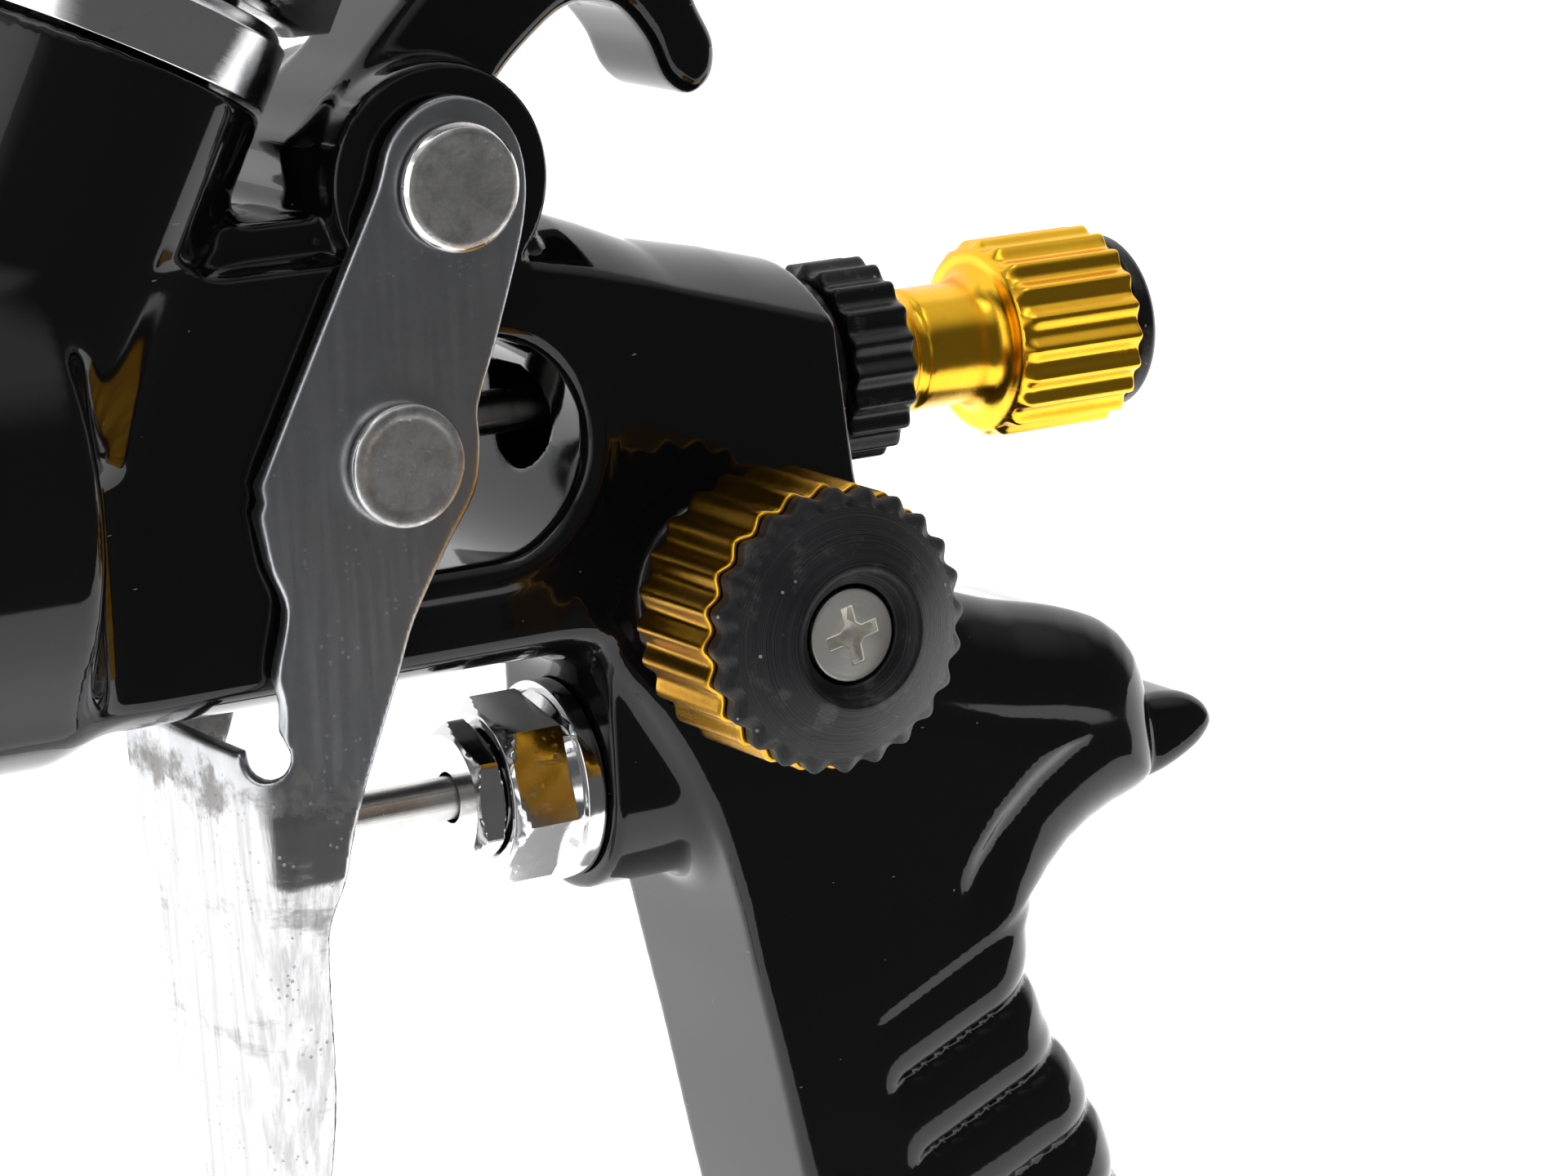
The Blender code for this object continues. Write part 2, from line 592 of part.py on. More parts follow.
def make_front():
    spigot = HEAD_FRONT - SPIGOT_LENGTH
    nozzle = turned(
        "fluid_nozzle",
        (
            (NEEDLE_TIP - GAP, 0.0), (NEEDLE_TIP - GAP, TIP_R), (NEEDLE_TIP + TIP_LENGTH, TIP_BACK_R),
            (NOZZLE_CONE, NOZZLE_R), (spigot + HUB_SHORT - GAP, NOZZLE_R),
            (spigot + HUB_SHORT - GAP, NOZZLE_SHANK_R), (NOZZLE_END, NOZZLE_SHANK_R), (NOZZLE_END, 0.0),
        ),
        NO_OFFSET, X_AXIS, STEEL,
    )
    grip = prism("nozzle_hex", hexagon(2 * NOZZLE_R), spigot - NOZZLE_GRIP,
                 spigot + NOZZLE_GRIP / 4, NO_OFFSET, X_AXIS)
    tip_bore = NEEDLE_R * TIP_BORE_SHARE
    paint_bore = NEEDLE_R + PAINT_ROOM
    bore = (
        (NEEDLE_TIP - OVER, 0.0), (NEEDLE_TIP - OVER, tip_bore), (NEEDLE_TIP + GAP, tip_bore),
        (NOZZLE_CONE, paint_bore), (NOZZLE_END + OVER, paint_bore), (NOZZLE_END + OVER, 0.0),
    )
    join(nozzle, grip)
    cut(nozzle, turned("nozzle_bore", bore, NO_OFFSET, X_AXIS, None))

    baffle = bush("air_baffle_ring", spigot + BAFFLE_SINK, HEAD_FRONT - GAP, POCKET_R - GAP, HUB_R + GAP,
                  NO_OFFSET, X_AXIS, PLASTIC, 36)
    middle = (POCKET_R + HUB_R) / 2
    for number, (across, up) in enumerate(regular(6, middle, math.radians(30))):
        hole = rod(f"baffle_hole_{number}", spigot, HEAD_FRONT + OVER, BAFFLE_HOLE_R,
                   Vector((0, across, up)), X_AXIS, steps=10)
        cut(baffle, hole)

    flange_back = spigot - GAP
    flange_front = flange_back - CAP_FLANGE
    face = NEEDLE_TIP - CAP_PROUD
    inner_r = CAP_R - CAP_WALL
    cap = turned(
        "air_cap",
        (
            (face, CAP_HOLE_R), (face, CAP_FACE_R), (CAP_SHOULDER, CAP_R), (flange_front, CAP_R),
            (flange_front, CAP_FLANGE_R), (flange_back, CAP_FLANGE_R), (flange_back, inner_r),
            (CAP_INSIDE, inner_r), (face + CAP_WALL, CAP_HOLE_R),
        ),
        NO_OFFSET, X_AXIS, AMBER, 32, ring=True,
    )
    horn_root, horn_out = CAP_SHOULDER + GAP, CAP_R - 2 * GAP
    horn = (
        (horn_root, HORN_IN), (HORN_BEND, HORN_IN), (HORN_TIP, HORN_TIP_IN), (HORN_TIP, HORN_TIP_OUT),
        (HORN_BEND, horn_out), (horn_root, horn_out),
    )
    for label, side in (("right", 1), ("left", -1)):
        outline = [(x, side * y) for x, y in horn]
        join(cap, prism(f"horn_{label}", outline, -HORN_HALF, HORN_HALF, NO_OFFSET, Z_AXIS))
        cut(cap, rod(f"horn_port_{label}", HORN_PORT_IN, HORN_PORT_OUT, HORN_PORT_R,
                     Vector((HORN_PORT_X, 0, 0)), Y_AXIS * side, steps=8))

    clip_front = flange_front + CLIP_SET_BACK
    bush("cap_retaining_clip", clip_front, clip_front + CLIP_THICK, SPIGOT_R + CLIP_EASE,
         CAP_FLANGE_R + CLIP_EASE, NO_OFFSET, X_AXIS, STEEL, 36)
    front = flange_front - GAP - RING_LIP
    ring = prism("air_cap_ring", fluted_outline(CAP_RING_R, CAP_RING_FLUTES, CAP_RING_FLUTE), front,
                 HEAD_FRONT - 2 * GAP, NO_OFFSET, X_AXIS, AMBER)
    ring_bore = (
        (front - OVER, 0.0), (front - OVER, CAP_R + GAP), (flange_front - GAP, CAP_R + GAP),
        (flange_front - GAP, SPIGOT_R + GAP), (HEAD_FRONT + OVER, SPIGOT_R + GAP),
        (HEAD_FRONT + OVER, 0.0),
    )
    cut(ring, turned("ring_bore", ring_bore, NO_OFFSET, X_AXIS, None, 36))


def make_needle():
    tail_r = NEEDLE_R - TAIL_STEP
    flange_back = NEEDLE_FLANGE + FLANGE_THICK
    turned(
        "needle",
        (
            (NEEDLE_TIP, 0.0), (NEEDLE_TIP, NEEDLE_R * POINT_SHARE), (NEEDLE_TIP + NEEDLE_TAPER, NEEDLE_R),
            (NEEDLE_FLANGE, NEEDLE_R), (NEEDLE_FLANGE, KNOB_BORE_R - GAP), (flange_back, KNOB_BORE_R - GAP),
            (flange_back, tail_r), (NEEDLE_END, tail_r), (NEEDLE_END, 0.0),
        ),
        NO_OFFSET, X_AXIS, STEEL, 20,
    )
    collar_front = YOKE.x + YOKE_R + GAP
    bush("needle_collar", collar_front, collar_front + COLLAR_LENGTH, COLLAR_R, NEEDLE_R + GAP,
         NO_OFFSET, X_AXIS, CHROME)
    bush("needle_packing", PACKING_SEAT + GAP, PACKING_END, PACKING_R, NEEDLE_R + GAP, NO_OFFSET, X_AXIS,
         SEAL, 20)
    bush("needle_packing_nut", PACKING_END + GAP, WINDOW_ENDS[0] - WINDOW_R - GAP, PACKING_R, NEEDLE_R + GAP,
         NO_OFFSET, X_AXIS, BRASS)
    seat_back = KNOB_BORE_END - GAP
    seat_front = seat_back - SEAT_THICK
    coil("needle_spring", flange_back + GAP + SPRING_WIRE_R, seat_front - GAP - SPRING_WIRE_R,
         tail_r + SPRING_ROOM, SPRING_TURNS, NO_OFFSET, X_AXIS, STEEL)
    bush("needle_spring_seat", seat_front, seat_back, KNOB_BORE_R - GAP, tail_r + GAP,
         NO_OFFSET, X_AXIS, BRASS, 20)


def make_fluid_knob():
    bore_r = NECK_R + GAP
    bushing_front = BUSHING_SEAT + GAP
    lip = REAR_FACE + GAP
    turned(
        "rear_bushing",
        (
            (bushing_front, BUSHING_SHANK_R), (lip, BUSHING_SHANK_R), (lip, BUSHING_R),
            (lip + BUSHING_LIP, BUSHING_R), (lip + BUSHING_LIP, bore_r), (bushing_front, bore_r),
        ),
        NO_OFFSET, X_AXIS, DARK, ring=True,
    )
    ring = prism("lock_ring", fluted_outline(KNOB_R, KNOB_FLUTES, KNOB_FLUTE), lip + BUSHING_LIP + GAP,
                 RING_BACK, NO_OFFSET, X_AXIS, DARK)
    cut(ring, rod("lock_ring_bore", lip, RING_BACK + OVER, bore_r, NO_OFFSET, X_AXIS, steps=28))
    knob_back = KNOB_FRONT + KNOB_LENGTH
    cap_seat = KNOB_BORE_END + KNOB_FLOOR
    groove = RING_BACK + GROOVE_WIDTH
    neck = turned(
        "neck",
        (
            (NECK_START, 0.0), (NECK_START, NECK_R), (groove, NECK_R), (groove, NECK_R - GROOVE_DEPTH),
            (groove + GROOVE_WIDTH, NECK_R - GROOVE_DEPTH), (groove + GROOVE_WIDTH, NECK_R),
            (KNOB_FRONT - NECK_FILLET, NECK_R), (KNOB_FRONT + GAP, NECK_R + NECK_FILLET),
            (KNOB_FRONT + GAP, 0.0),
        ),
        NO_OFFSET, X_AXIS, None,
    )
    knob = prism("fluid_knob", fluted_outline(KNOB_R, KNOB_FLUTES, KNOB_FLUTE), KNOB_FRONT, knob_back,
                 NO_OFFSET, X_AXIS, GOLD)
    join(knob, neck)
    cut(
        knob,
        rod("knob_bore", NECK_START - OVER, KNOB_BORE_END, KNOB_BORE_R, NO_OFFSET, X_AXIS),
        rod("knob_cap_hole", cap_seat, knob_back + OVER, KNOB_BORE_R, NO_OFFSET, X_AXIS),
    )
    cap_back = knob_back + KNOB_CAP_LENGTH
    turned(
        "fluid_knob_cap",
        (
            (cap_seat + GAP, 0.0), (cap_seat + GAP, KNOB_BORE_R - GAP), (knob_back + GAP, KNOB_BORE_R - GAP),
            (knob_back + GAP, KNOB_CAP_R), (cap_back - CAP_CHAMFER, KNOB_CAP_R),
            (cap_back, KNOB_CAP_R - CAP_CHAMFER), (cap_back, 0.0),
        ),
        NO_OFFSET, X_AXIS, DARK,
    )


def make_air_valve():
    flange_back = VALVE_FACE - GAP
    flange_front = flange_back - VALVE_FLANGE
    housing = rod("valve_housing_nut", flange_back - VALVE_FLANGE / 2, SEAT_X, VALVE_BORE_R - GAP,
                  VALVE_ORIGIN, X_AXIS, CHROME, 28)
    join(
        housing,
        rod("valve_flange", flange_front, flange_back, VALVE_FLANGE_R, VALVE_ORIGIN, X_AXIS, steps=36),
        prism("valve_hex", hexagon(VALVE_HEX, VALVE_HEX_TURN), VALVE_HEX_FRONT, flange_front + GAP,
              VALVE_ORIGIN, X_AXIS),
    )
    stem_hole = STEM_R + GAP
    bore = (
        (VALVE_HEX_FRONT - OVER, 0.0), (VALVE_HEX_FRONT - OVER, PACKING_R + GAP),
        (PACKING_FLOOR, PACKING_R + GAP), (PACKING_FLOOR, stem_hole), (CHAMBER, stem_hole),
        (CHAMBER, CHAMBER_R), (SEAT_X + OVER, CHAMBER_R), (SEAT_X + OVER, 0.0),
    )
    cut(
        housing,
        turned("valve_housing_bore", bore, VALVE_ORIGIN, X_AXIS, None, 28),
        rod("valve_air_hole", VALVE_Z - VALVE_FLANGE_R, VALVE_Z + VALVE_FLANGE_R, RISER_R - GAP,
            Vector((RISER_X, 0, 0)), Z_AXIS, steps=16),
    )
    nut_back = VALVE_HEX_FRONT - GAP
    nut_end = nut_back + PACKING_NUT_REACH
    nut = rod("valve_packing_nut", nut_back - PACKING_NUT_THICK / 2, nut_end, PACKING_R,
              VALVE_ORIGIN, X_AXIS, CHROME)
    join(nut, prism("packing_hex", hexagon(PACKING_HEX, PACKING_HEX_TURN), nut_back - PACKING_NUT_THICK,
                    nut_back, VALVE_ORIGIN, X_AXIS))
    cut(nut, rod("packing_nut_bore", nut_back - 2 * PACKING_NUT_THICK, nut_end + OVER, stem_hole,
                 VALVE_ORIGIN, X_AXIS))
    bush("valve_packing", nut_end + GAP, PACKING_FLOOR - GAP, PACKING_R, stem_hole,
         VALVE_ORIGIN, X_AXIS, SEAL, 20)
    stem_tip = WEB_INSIDE + GAP
    dome = [(stem_tip + STEM_R * (1 - math.cos(a)), STEM_R * math.sin(a))
            for a in [math.radians(15 * i) for i in range(7)]]
    poppet = SEAT_X + GAP
    poppet_back = poppet + POPPET_LENGTH
    turned(
        "valve_stem",
        (
            *dome, (poppet, STEM_R), (poppet, POPPET_R), (poppet_back, POPPET_R),
            (poppet_back, STEM_R - GAP), (poppet_back + STEM_TAIL, STEM_R - GAP),
            (poppet_back + STEM_TAIL, 0.0),
        ),
        VALVE_ORIGIN, X_AXIS, STEEL,
    )
    coil("valve_spring", poppet_back + 2 * SPRING_WIRE_R, VALVE_BORE_END - GAP - SPRING_WIRE_R,
         STEM_R + SPRING_ROOM, SPRING_TURNS, VALVE_ORIGIN, X_AXIS, STEEL)


def make_fan_control():
    knob = prism("fan_knob", fluted_outline(FAN_R, FAN_FLUTES, FAN_FLUTE), -FAN_BACK, -FAN_GOLD_FRONT,
                 FAN, OUTWARD, AMBER)
    spindle_hole = SPINDLE_R + GAP
    reach = 2 * FAN_R - FAN_BACK
    cut(knob, rod("fan_knob_bore", 0.0, reach, spindle_hole, FAN, OUTWARD))
    cap_back = -FAN_GOLD_FRONT + GAP
    face = -FAN_RIM + FAN_CONE
    cone_r = FAN_R - FAN_FLUTE - GAP
    cap = prism("fan_knob_cap", fluted_outline(FAN_R, FAN_FLUTES, FAN_FLUTE), cap_back, -FAN_RIM,
                FAN, OUTWARD, DARK)
    cone = turned(
        "fan_cone",
        (
            (-FAN_RIM - GAP, 0.0), (-FAN_RIM - GAP, cone_r), (-FAN_RIM, cone_r),
            (-FAN_RIM + FAN_CONE * CONE_SWELL, (cone_r + FAN_FACE_R) / 2), (face, FAN_FACE_R), (face, 0.0),
        ),
        FAN, OUTWARD, None, 36,
    )
    join(cap, cone)
    head_face = face - FAN_SINK
    sink = (
        (cap_back - OVER, 0.0), (cap_back - OVER, SCREW_SHANK_R + GAP),
        (head_face - SCREW_HEAD - GAP, SCREW_SHANK_R + GAP), (head_face - GAP, FAN_SCREW_R + GAP),
        (face + OVER, FAN_SCREW_R + GAP), (face + OVER, 0.0),
    )
    cut(cap, turned("fan_countersink", sink, FAN, OUTWARD, None))
    screw = turned(
        "fan_knob_screw",
        (
            (cap_back - SCREW_REACH, 0.0), (cap_back - SCREW_REACH, SCREW_SHANK_R),
            (head_face - SCREW_HEAD, SCREW_SHANK_R), (head_face, FAN_SCREW_R), (head_face, 0.0),
        ),
        FAN, OUTWARD, CHROME,
    )
    for number, turn in enumerate((math.radians(45), math.radians(135))):
        along, up = math.cos(turn), math.sin(turn)
        length, width = CROSS_LENGTH, CROSS_WIDTH
        outline = [
            (length * along - width * up, length * up + width * along),
            (-length * along - width * up, -length * up + width * along),
            (-length * along + width * up, -length * up - width * along),
            (length * along + width * up, length * up - width * along),
        ]
        cut(screw, prism(f"recess_{number}", outline, head_face - CROSS_DEPTH, head_face + OVER,
                         FAN, OUTWARD))
    spindle = turned(
        "fan_spindle",
        (
            (-SPINDLE_DEPTH, 0.0), (-SPINDLE_DEPTH, SPINDLE_R / 2), (-SPINDLE_DEPTH + SPINDLE_R, SPINDLE_R),
            (cap_back - GAP * 2, SPINDLE_R), (cap_back - GAP * 2, 0.0),
        ),
        FAN, OUTWARD, BRASS,
    )
    cut(spindle, rod("spindle_thread", cap_back - SCREW_REACH - GAP, reach, SCREW_SHANK_R + GAP,
                     FAN, OUTWARD))
    boss = FAN_BOSS_END + GAP
    gland_end = -FAN_BACK - 2 * GAP
    turned(
        "fan_gland",
        (
            (GLAND_FRONT, GLAND_R), (boss, GLAND_R), (boss, GLAND_HEAD_R), (gland_end, GLAND_HEAD_R),
            (gland_end, spindle_hole), (GLAND_FRONT, spindle_hole),
        ),
        FAN, OUTWARD, DARK, 28, ring=True,
    )
    bush("fan_spindle_seal", SPINDLE_SEAL, SPINDLE_SEAL + SEAL_THICK, GLAND_R, spindle_hole,
         FAN, OUTWARD, SEAL, 20)


def trigger_fronts(inset):
    """The trigger seen from the front, in Y and Z: it tapers down to its tip."""
    half = TRIGGER_HALF - inset
    tip = TRIGGER_TIP_HALF - inset
    left = ((-half, 0.04), (-half, -0.0290), (-half * 0.76, -0.0440), (-tip * 1.12, -0.0600), (-tip, -0.095))
    return [*left, *((-y, z) for y, z in reversed(left))]


def make_trigger():
    outline = [(x, z - PIVOT.z) for x, z in TRIGGER_FRONT + TRIGGER_REAR]
    trigger = side_plate("trigger", outline, -TRIGGER_HALF, TRIGGER_HALF, STEEL,
                         soft=[*range(1, 8), *range(9, len(outline))], about=PIVOT)
    front = face_plate("trigger_front_form", trigger_fronts(0.0), -0.06, 0.06)
    change(trigger, "INTERSECT", front)
    inner = face_plate("trigger_channel", trigger_fronts(PLATE), -0.08, 0.08)
    channel = (
        (-0.08, 0.06), (-0.08, WEB_TOP), (WEB_INSIDE, WEB_TOP), (WEB_INSIDE + 0.0001, -0.0420),
        (WEB_INSIDE + 0.0009, -0.0590), (WEB_INSIDE - 0.0013, -0.0700), (WEB_INSIDE - 0.0050, -0.0850),
        (0.08, -0.0850), (0.08, 0.06),
    )
    change(inner, "INTERSECT", side_plate("trigger_channel_side", channel, -0.05, 0.05))
    cut(trigger, inner)
    cut(trigger, rod("trigger_pivot_hole", -0.02, 0.02, PIVOT_R + GAP, PIVOT, Y_AXIS))
    cut(trigger, rod("trigger_yoke_hole", -0.02, 0.02, YOKE_END_R + GAP, YOKE, Y_AXIS))

    head_in = TRIGGER_HALF + GAP
    head_out = TRIGGER_HALF + HEAD_PROUD
    chamfer = 0.0004
    bar_end = TRIGGER_HALF - PLATE - GAP
    yoke = turned(
        "needle_yoke",
        (
            (-head_out, 0.0), (-head_out, YOKE_HEAD_R - chamfer), (-head_out + chamfer, YOKE_HEAD_R),
            (-head_in, YOKE_HEAD_R), (-head_in, YOKE_END_R), (-bar_end, YOKE_END_R), (-bar_end, YOKE_R),
            (bar_end, YOKE_R), (bar_end, YOKE_END_R), (head_in - GAP, YOKE_END_R), (head_in - GAP, 0.0),
        ),
        YOKE, Y_AXIS, STEEL, 24,
    )
    half = NEEDLE_R + GAP
    low, high = -0.0021 - (half - 0.00205), 0.0038
    slot = [(-half, low), (-half, high), (half, high), (half, low)]
    cut(yoke, prism("yoke_slot", slot, -0.01, 0.01, YOKE, X_AXIS))
    for name, place_at, hole_r, head_r in (
        ("yoke_retainer", YOKE, YOKE_END_R, YOKE_HEAD_R),
        ("pivot_retainer", PIVOT, PIVOT_R, PIVOT_HEAD_R),
    ):
        turned(
            name,
            (
                (head_in, 0.0), (head_in, head_r), (head_out - chamfer, head_r),
                (head_out, head_r - chamfer), (head_out, 0.0),
            ),
            place_at, Y_AXIS, STEEL,
        )
    turned(
        "pivot_pin",
        (
            (-head_out, 0.0), (-head_out, PIVOT_HEAD_R - chamfer), (-head_out + chamfer, PIVOT_HEAD_R),
            (-head_in, PIVOT_HEAD_R), (-head_in, PIVOT_R), (head_in - GAP, PIVOT_R), (head_in - GAP, 0.0),
        ),
        PIVOT, Y_AXIS, STEEL,
    )


def make_cup():
    turned(
        "cup_port_collar",
        (
            (-COLLAR_DEPTH, NIPPLE_R), (GAP, NIPPLE_R), (GAP, CUP_BOSS_R),
            (COLLAR_TOP - COLLAR_CHAMFER, CUP_BOSS_R), (COLLAR_TOP, CUP_BOSS_R - COLLAR_CHAMFER),
            (COLLAR_TOP, NIPPLE_R), (NIPPLE_TOP, NIPPLE_R), (NIPPLE_TOP, PORT_R), (-COLLAR_DEPTH, PORT_R),
        ),
        CUP_BASE, CUP_AXIS, CHROME, 36, ring=True,
    )
    hex_top = CUP_NECK_BOTTOM - GAP
    throat = NIPPLE_R + THROAT_WALL
    funnel_seat = FUNNEL_BOTTOM - STRAINER_SINK
    connector = rod("cup_connector", (COLLAR_TOP + hex_top) / 2, funnel_seat, throat,
                    CUP_BASE, CUP_AXIS, CHROME)
    join(connector, prism("connector_hex", hexagon(CUP_HEX, CUP_HEX_TURN), COLLAR_TOP + GAP, hex_top,
                          CUP_BASE, CUP_AXIS))
    bore = (
        (COLLAR_TOP - OVER, 0.0), (COLLAR_TOP - OVER, NIPPLE_R + GAP),
        (NIPPLE_TOP + GAP, NIPPLE_R + GAP), (NIPPLE_TOP + GAP, CONNECTOR_BORE_R),
        (FUNNEL_BOTTOM + OVER, CONNECTOR_BORE_R), (FUNNEL_BOTTOM + OVER, 0.0),
    )
    cut(connector, turned("connector_bore", bore, CUP_BASE, CUP_AXIS, None))
    inner_r = CUP_R - CUP_WALL
    neck_bore = throat + GAP
    turned(
        "paint_cup",
        (
            (CUP_NECK_BOTTOM, CUP_NECK_R), (funnel_seat, CUP_NECK_R),
            (FUNNEL_TOP - CUP_TURN, CUP_R - CUP_TURN), (FUNNEL_TOP, CUP_R), (CUP_RIM, CUP_R),
            (CUP_RIM, inner_r), (FUNNEL_TOP + 2 * GAP, inner_r),
            (FUNNEL_TOP - CUP_TURN, inner_r - CUP_TURN), (FUNNEL_BOTTOM + 2 * GAP, neck_bore),
            (CUP_NECK_BOTTOM, neck_bore),
        ),
        CUP_BASE, CUP_AXIS, ALUMINIUM, 40, ring=True,
    )
    seat = funnel_seat + GAP
    mesh_top = seat + STRAINER_HEIGHT
    rim_top = seat + STRAINER_RIM
    turned(
        "paint_strainer",
        (
            (mesh_top - STRAINER_WALL, 0.0), (mesh_top - STRAINER_WALL, STRAINER_TOP_R - STRAINER_WALL),
            (seat, STRAINER_R - STRAINER_WALL), (seat, STRAINER_RIM_R), (rim_top, STRAINER_RIM_R),
            (rim_top, STRAINER_R), (mesh_top, STRAINER_TOP_R), (mesh_top, 0.0),
        ),
        CUP_BASE, CUP_AXIS, SEAL, 20,
    )
    gasket_top = CUP_RIM + GAP + GASKET_THICK
    bush("lid_gasket", CUP_RIM + GAP, gasket_top, CUP_R - GAP, CUP_R - GASKET_WIDTH, CUP_BASE, CUP_AXIS,
         SEAL, 48)
    ceiling = gasket_top + GAP
    lid_top = ceiling + LID_THICK
    skirt = CUP_RIM - LID_SKIRT
    plug_top = lid_top + PLUG_HEIGHT
    lid = prism("cup_lid", fluted_outline(CUP_R + LID_WALL, LID_FLUTES, LID_FLUTE), skirt, lid_top,
                CUP_BASE, CUP_AXIS, PLASTIC)
    vent = CUP_BASE + Y_AXIS * VENT_Y
    cut(
        lid,
        rod("lid_inside", skirt - OVER, ceiling, CUP_R + GAP, CUP_BASE, CUP_AXIS, steps=48),
        rod("vent_hole", skirt, lid_top + OVER, VENT_R + GAP, vent, CUP_AXIS, steps=16),
    )
    turned(
        "vent_plug",
        (
            (ceiling - PLUG_DEPTH, 0.0), (ceiling - PLUG_DEPTH, VENT_R), (lid_top + GAP, VENT_R),
            (lid_top + GAP, PLUG_R), (plug_top - PLUG_CHAMFER, PLUG_R),
            (plug_top, PLUG_R - PLUG_CHAMFER), (plug_top, 0.0),
        ),
        vent, CUP_AXIS, SEAL, 20,
    )


def make_inlet():
    washer_top = GAP
    bush("inlet_washer", washer_top, washer_top + WASHER_THICK, INLET_HEX / 2, INLET_R + GAP,
         INLET_FACE, -Z_AXIS, SEAL)
    hex_top = washer_top + WASHER_THICK + GAP
    fitting = rod("air_inlet_fitting", -FITTING_DEPTH, INLET_LENGTH, INLET_R, INLET_FACE, -Z_AXIS, CHROME)
    join(fitting, prism("inlet_hex", hexagon(INLET_HEX), hex_top, hex_top + INLET_HEX_LENGTH,
                        INLET_FACE, -Z_AXIS))
    cut(fitting, rod("inlet_fitting_bore", -INLET_BORE_DEPTH, INLET_LENGTH + OVER, INLET_R - INLET_WALL,
                     INLET_FACE, -Z_AXIS))


make_body()
make_front()
make_needle()
make_fluid_knob()
make_air_valve()
make_fan_control()
make_trigger()
make_cup()
make_inlet()
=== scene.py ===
"""Gravity-feed spray gun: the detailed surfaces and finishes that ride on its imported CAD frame.

Shapes are laid out in millimetres about the needle axis (X back from the nozzle, Y across, Z up), and are
moved as they are made so that the frame's origin is the air inlet's end face.
"""

import math

import bmesh
import bpy
import numpy as np
from mathutils import Matrix, Vector


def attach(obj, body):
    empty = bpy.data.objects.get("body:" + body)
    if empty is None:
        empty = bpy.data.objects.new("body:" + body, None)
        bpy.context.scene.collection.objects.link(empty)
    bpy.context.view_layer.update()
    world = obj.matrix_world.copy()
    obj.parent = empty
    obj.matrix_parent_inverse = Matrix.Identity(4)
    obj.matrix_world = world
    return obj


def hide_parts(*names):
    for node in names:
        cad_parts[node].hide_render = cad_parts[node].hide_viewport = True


bl_info = {
    "name": "Spray gun looks",
    "version": (1, 0, 0),
    "blender": (4, 5, 0),
    "location": "View3D > Sidebar > Spray gun",
    "description": "Builds the detailed surfaces of a gravity-feed spray gun",
    "category": "Add Mesh",
}

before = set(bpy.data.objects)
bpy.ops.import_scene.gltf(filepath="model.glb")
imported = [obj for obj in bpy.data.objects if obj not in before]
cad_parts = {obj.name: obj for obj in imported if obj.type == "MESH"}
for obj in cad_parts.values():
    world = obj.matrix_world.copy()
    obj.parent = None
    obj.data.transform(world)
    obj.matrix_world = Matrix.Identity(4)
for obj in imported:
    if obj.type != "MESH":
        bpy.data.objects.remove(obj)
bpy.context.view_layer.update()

MM = 0.001
OFFSET = np.array((-56.0, 0.0, 130.0))
X_AXIS, Y_AXIS, Z_AXIS = np.eye(3)
NEAR = -Y_AXIS
ZERO = np.zeros(3)

# Places and main sizes, in millimetres
BODY_HALF = 10.5
HANDLE_HALF = 11.2
HANDLE_BOTTOM = -112.0
PIVOT = np.array((0.0, 0.0, 19.8))
YOKE = np.array((-5.76, 0.0, -0.23))
VALVE = np.array((0.0, 0.0, -29.92))
FAN = np.array((21.76, 0.0, -14.41))
INLET = np.array((56.0, 0.0, HANDLE_BOTTOM))
TILT = math.radians(27)
CUP_BASE = np.array((-23.0, 0.0, 31.0))
CUP_AXIS = np.array((math.sin(TILT), 0.0, math.cos(TILT)))
NEEDLE_R = 1.75
PLATE = 1.5
TRIGGER_HALF = 12.6
HEAD_OUT = TRIGGER_HALF + 1.36
CUP_R = 41.0

# Outlines in X and Z. The number after a point is 1 where the outline turns a corner.
HANDLE = (
    (10.9, -15.0, 1), (14.6, -21.5, 0), (18.7, -28.3, 0), (21.3, -34.4, 0), (23.2, -40.8, 0),
    (24.7, -47.8, 0), (26.3, -55.3, 0), (29.2, -70.0, 0), (34.0, -91.0, 0), (40.0, HANDLE_BOTTOM, 1),
    (70.0, HANDLE_BOTTOM, 1), (65.0, -88.0, 0), (62.1, -74.1, 0), (59.4, -65.4, 0), (57.1, -60.6, 0),
    (53.6, -54.5, 0), (52.8, -48.2, 0), (54.4, -45.0, 0), (57.8, -42.0, 0), (61.4, -40.2, 0),
    (63.6, -39.5, 0), (65.4, -38.6, 0), (66.2, -37.2, 0), (66.3, -35.4, 0), (66.1, -33.4, 0),
    (65.8, -31.2, 0), (65.2, -28.8, 0), (63.9, -26.0, 0), (61.4, -23.9, 0), (57.0, -22.2, 0),
    (50.0, -20.4, 0), (42.0, -17.0, 0), (34.0, -10.0, 1),
)
SPUR = (
    (58.0, -31.5, 1), (66.0, -31.4, 0), (70.2, -31.8, 0), (72.4, -33.0, 0), (73.0, -34.8, 0),
    (71.2, -36.8, 0), (66.6, -38.6, 0), (58.0, -39.0, 1),
)
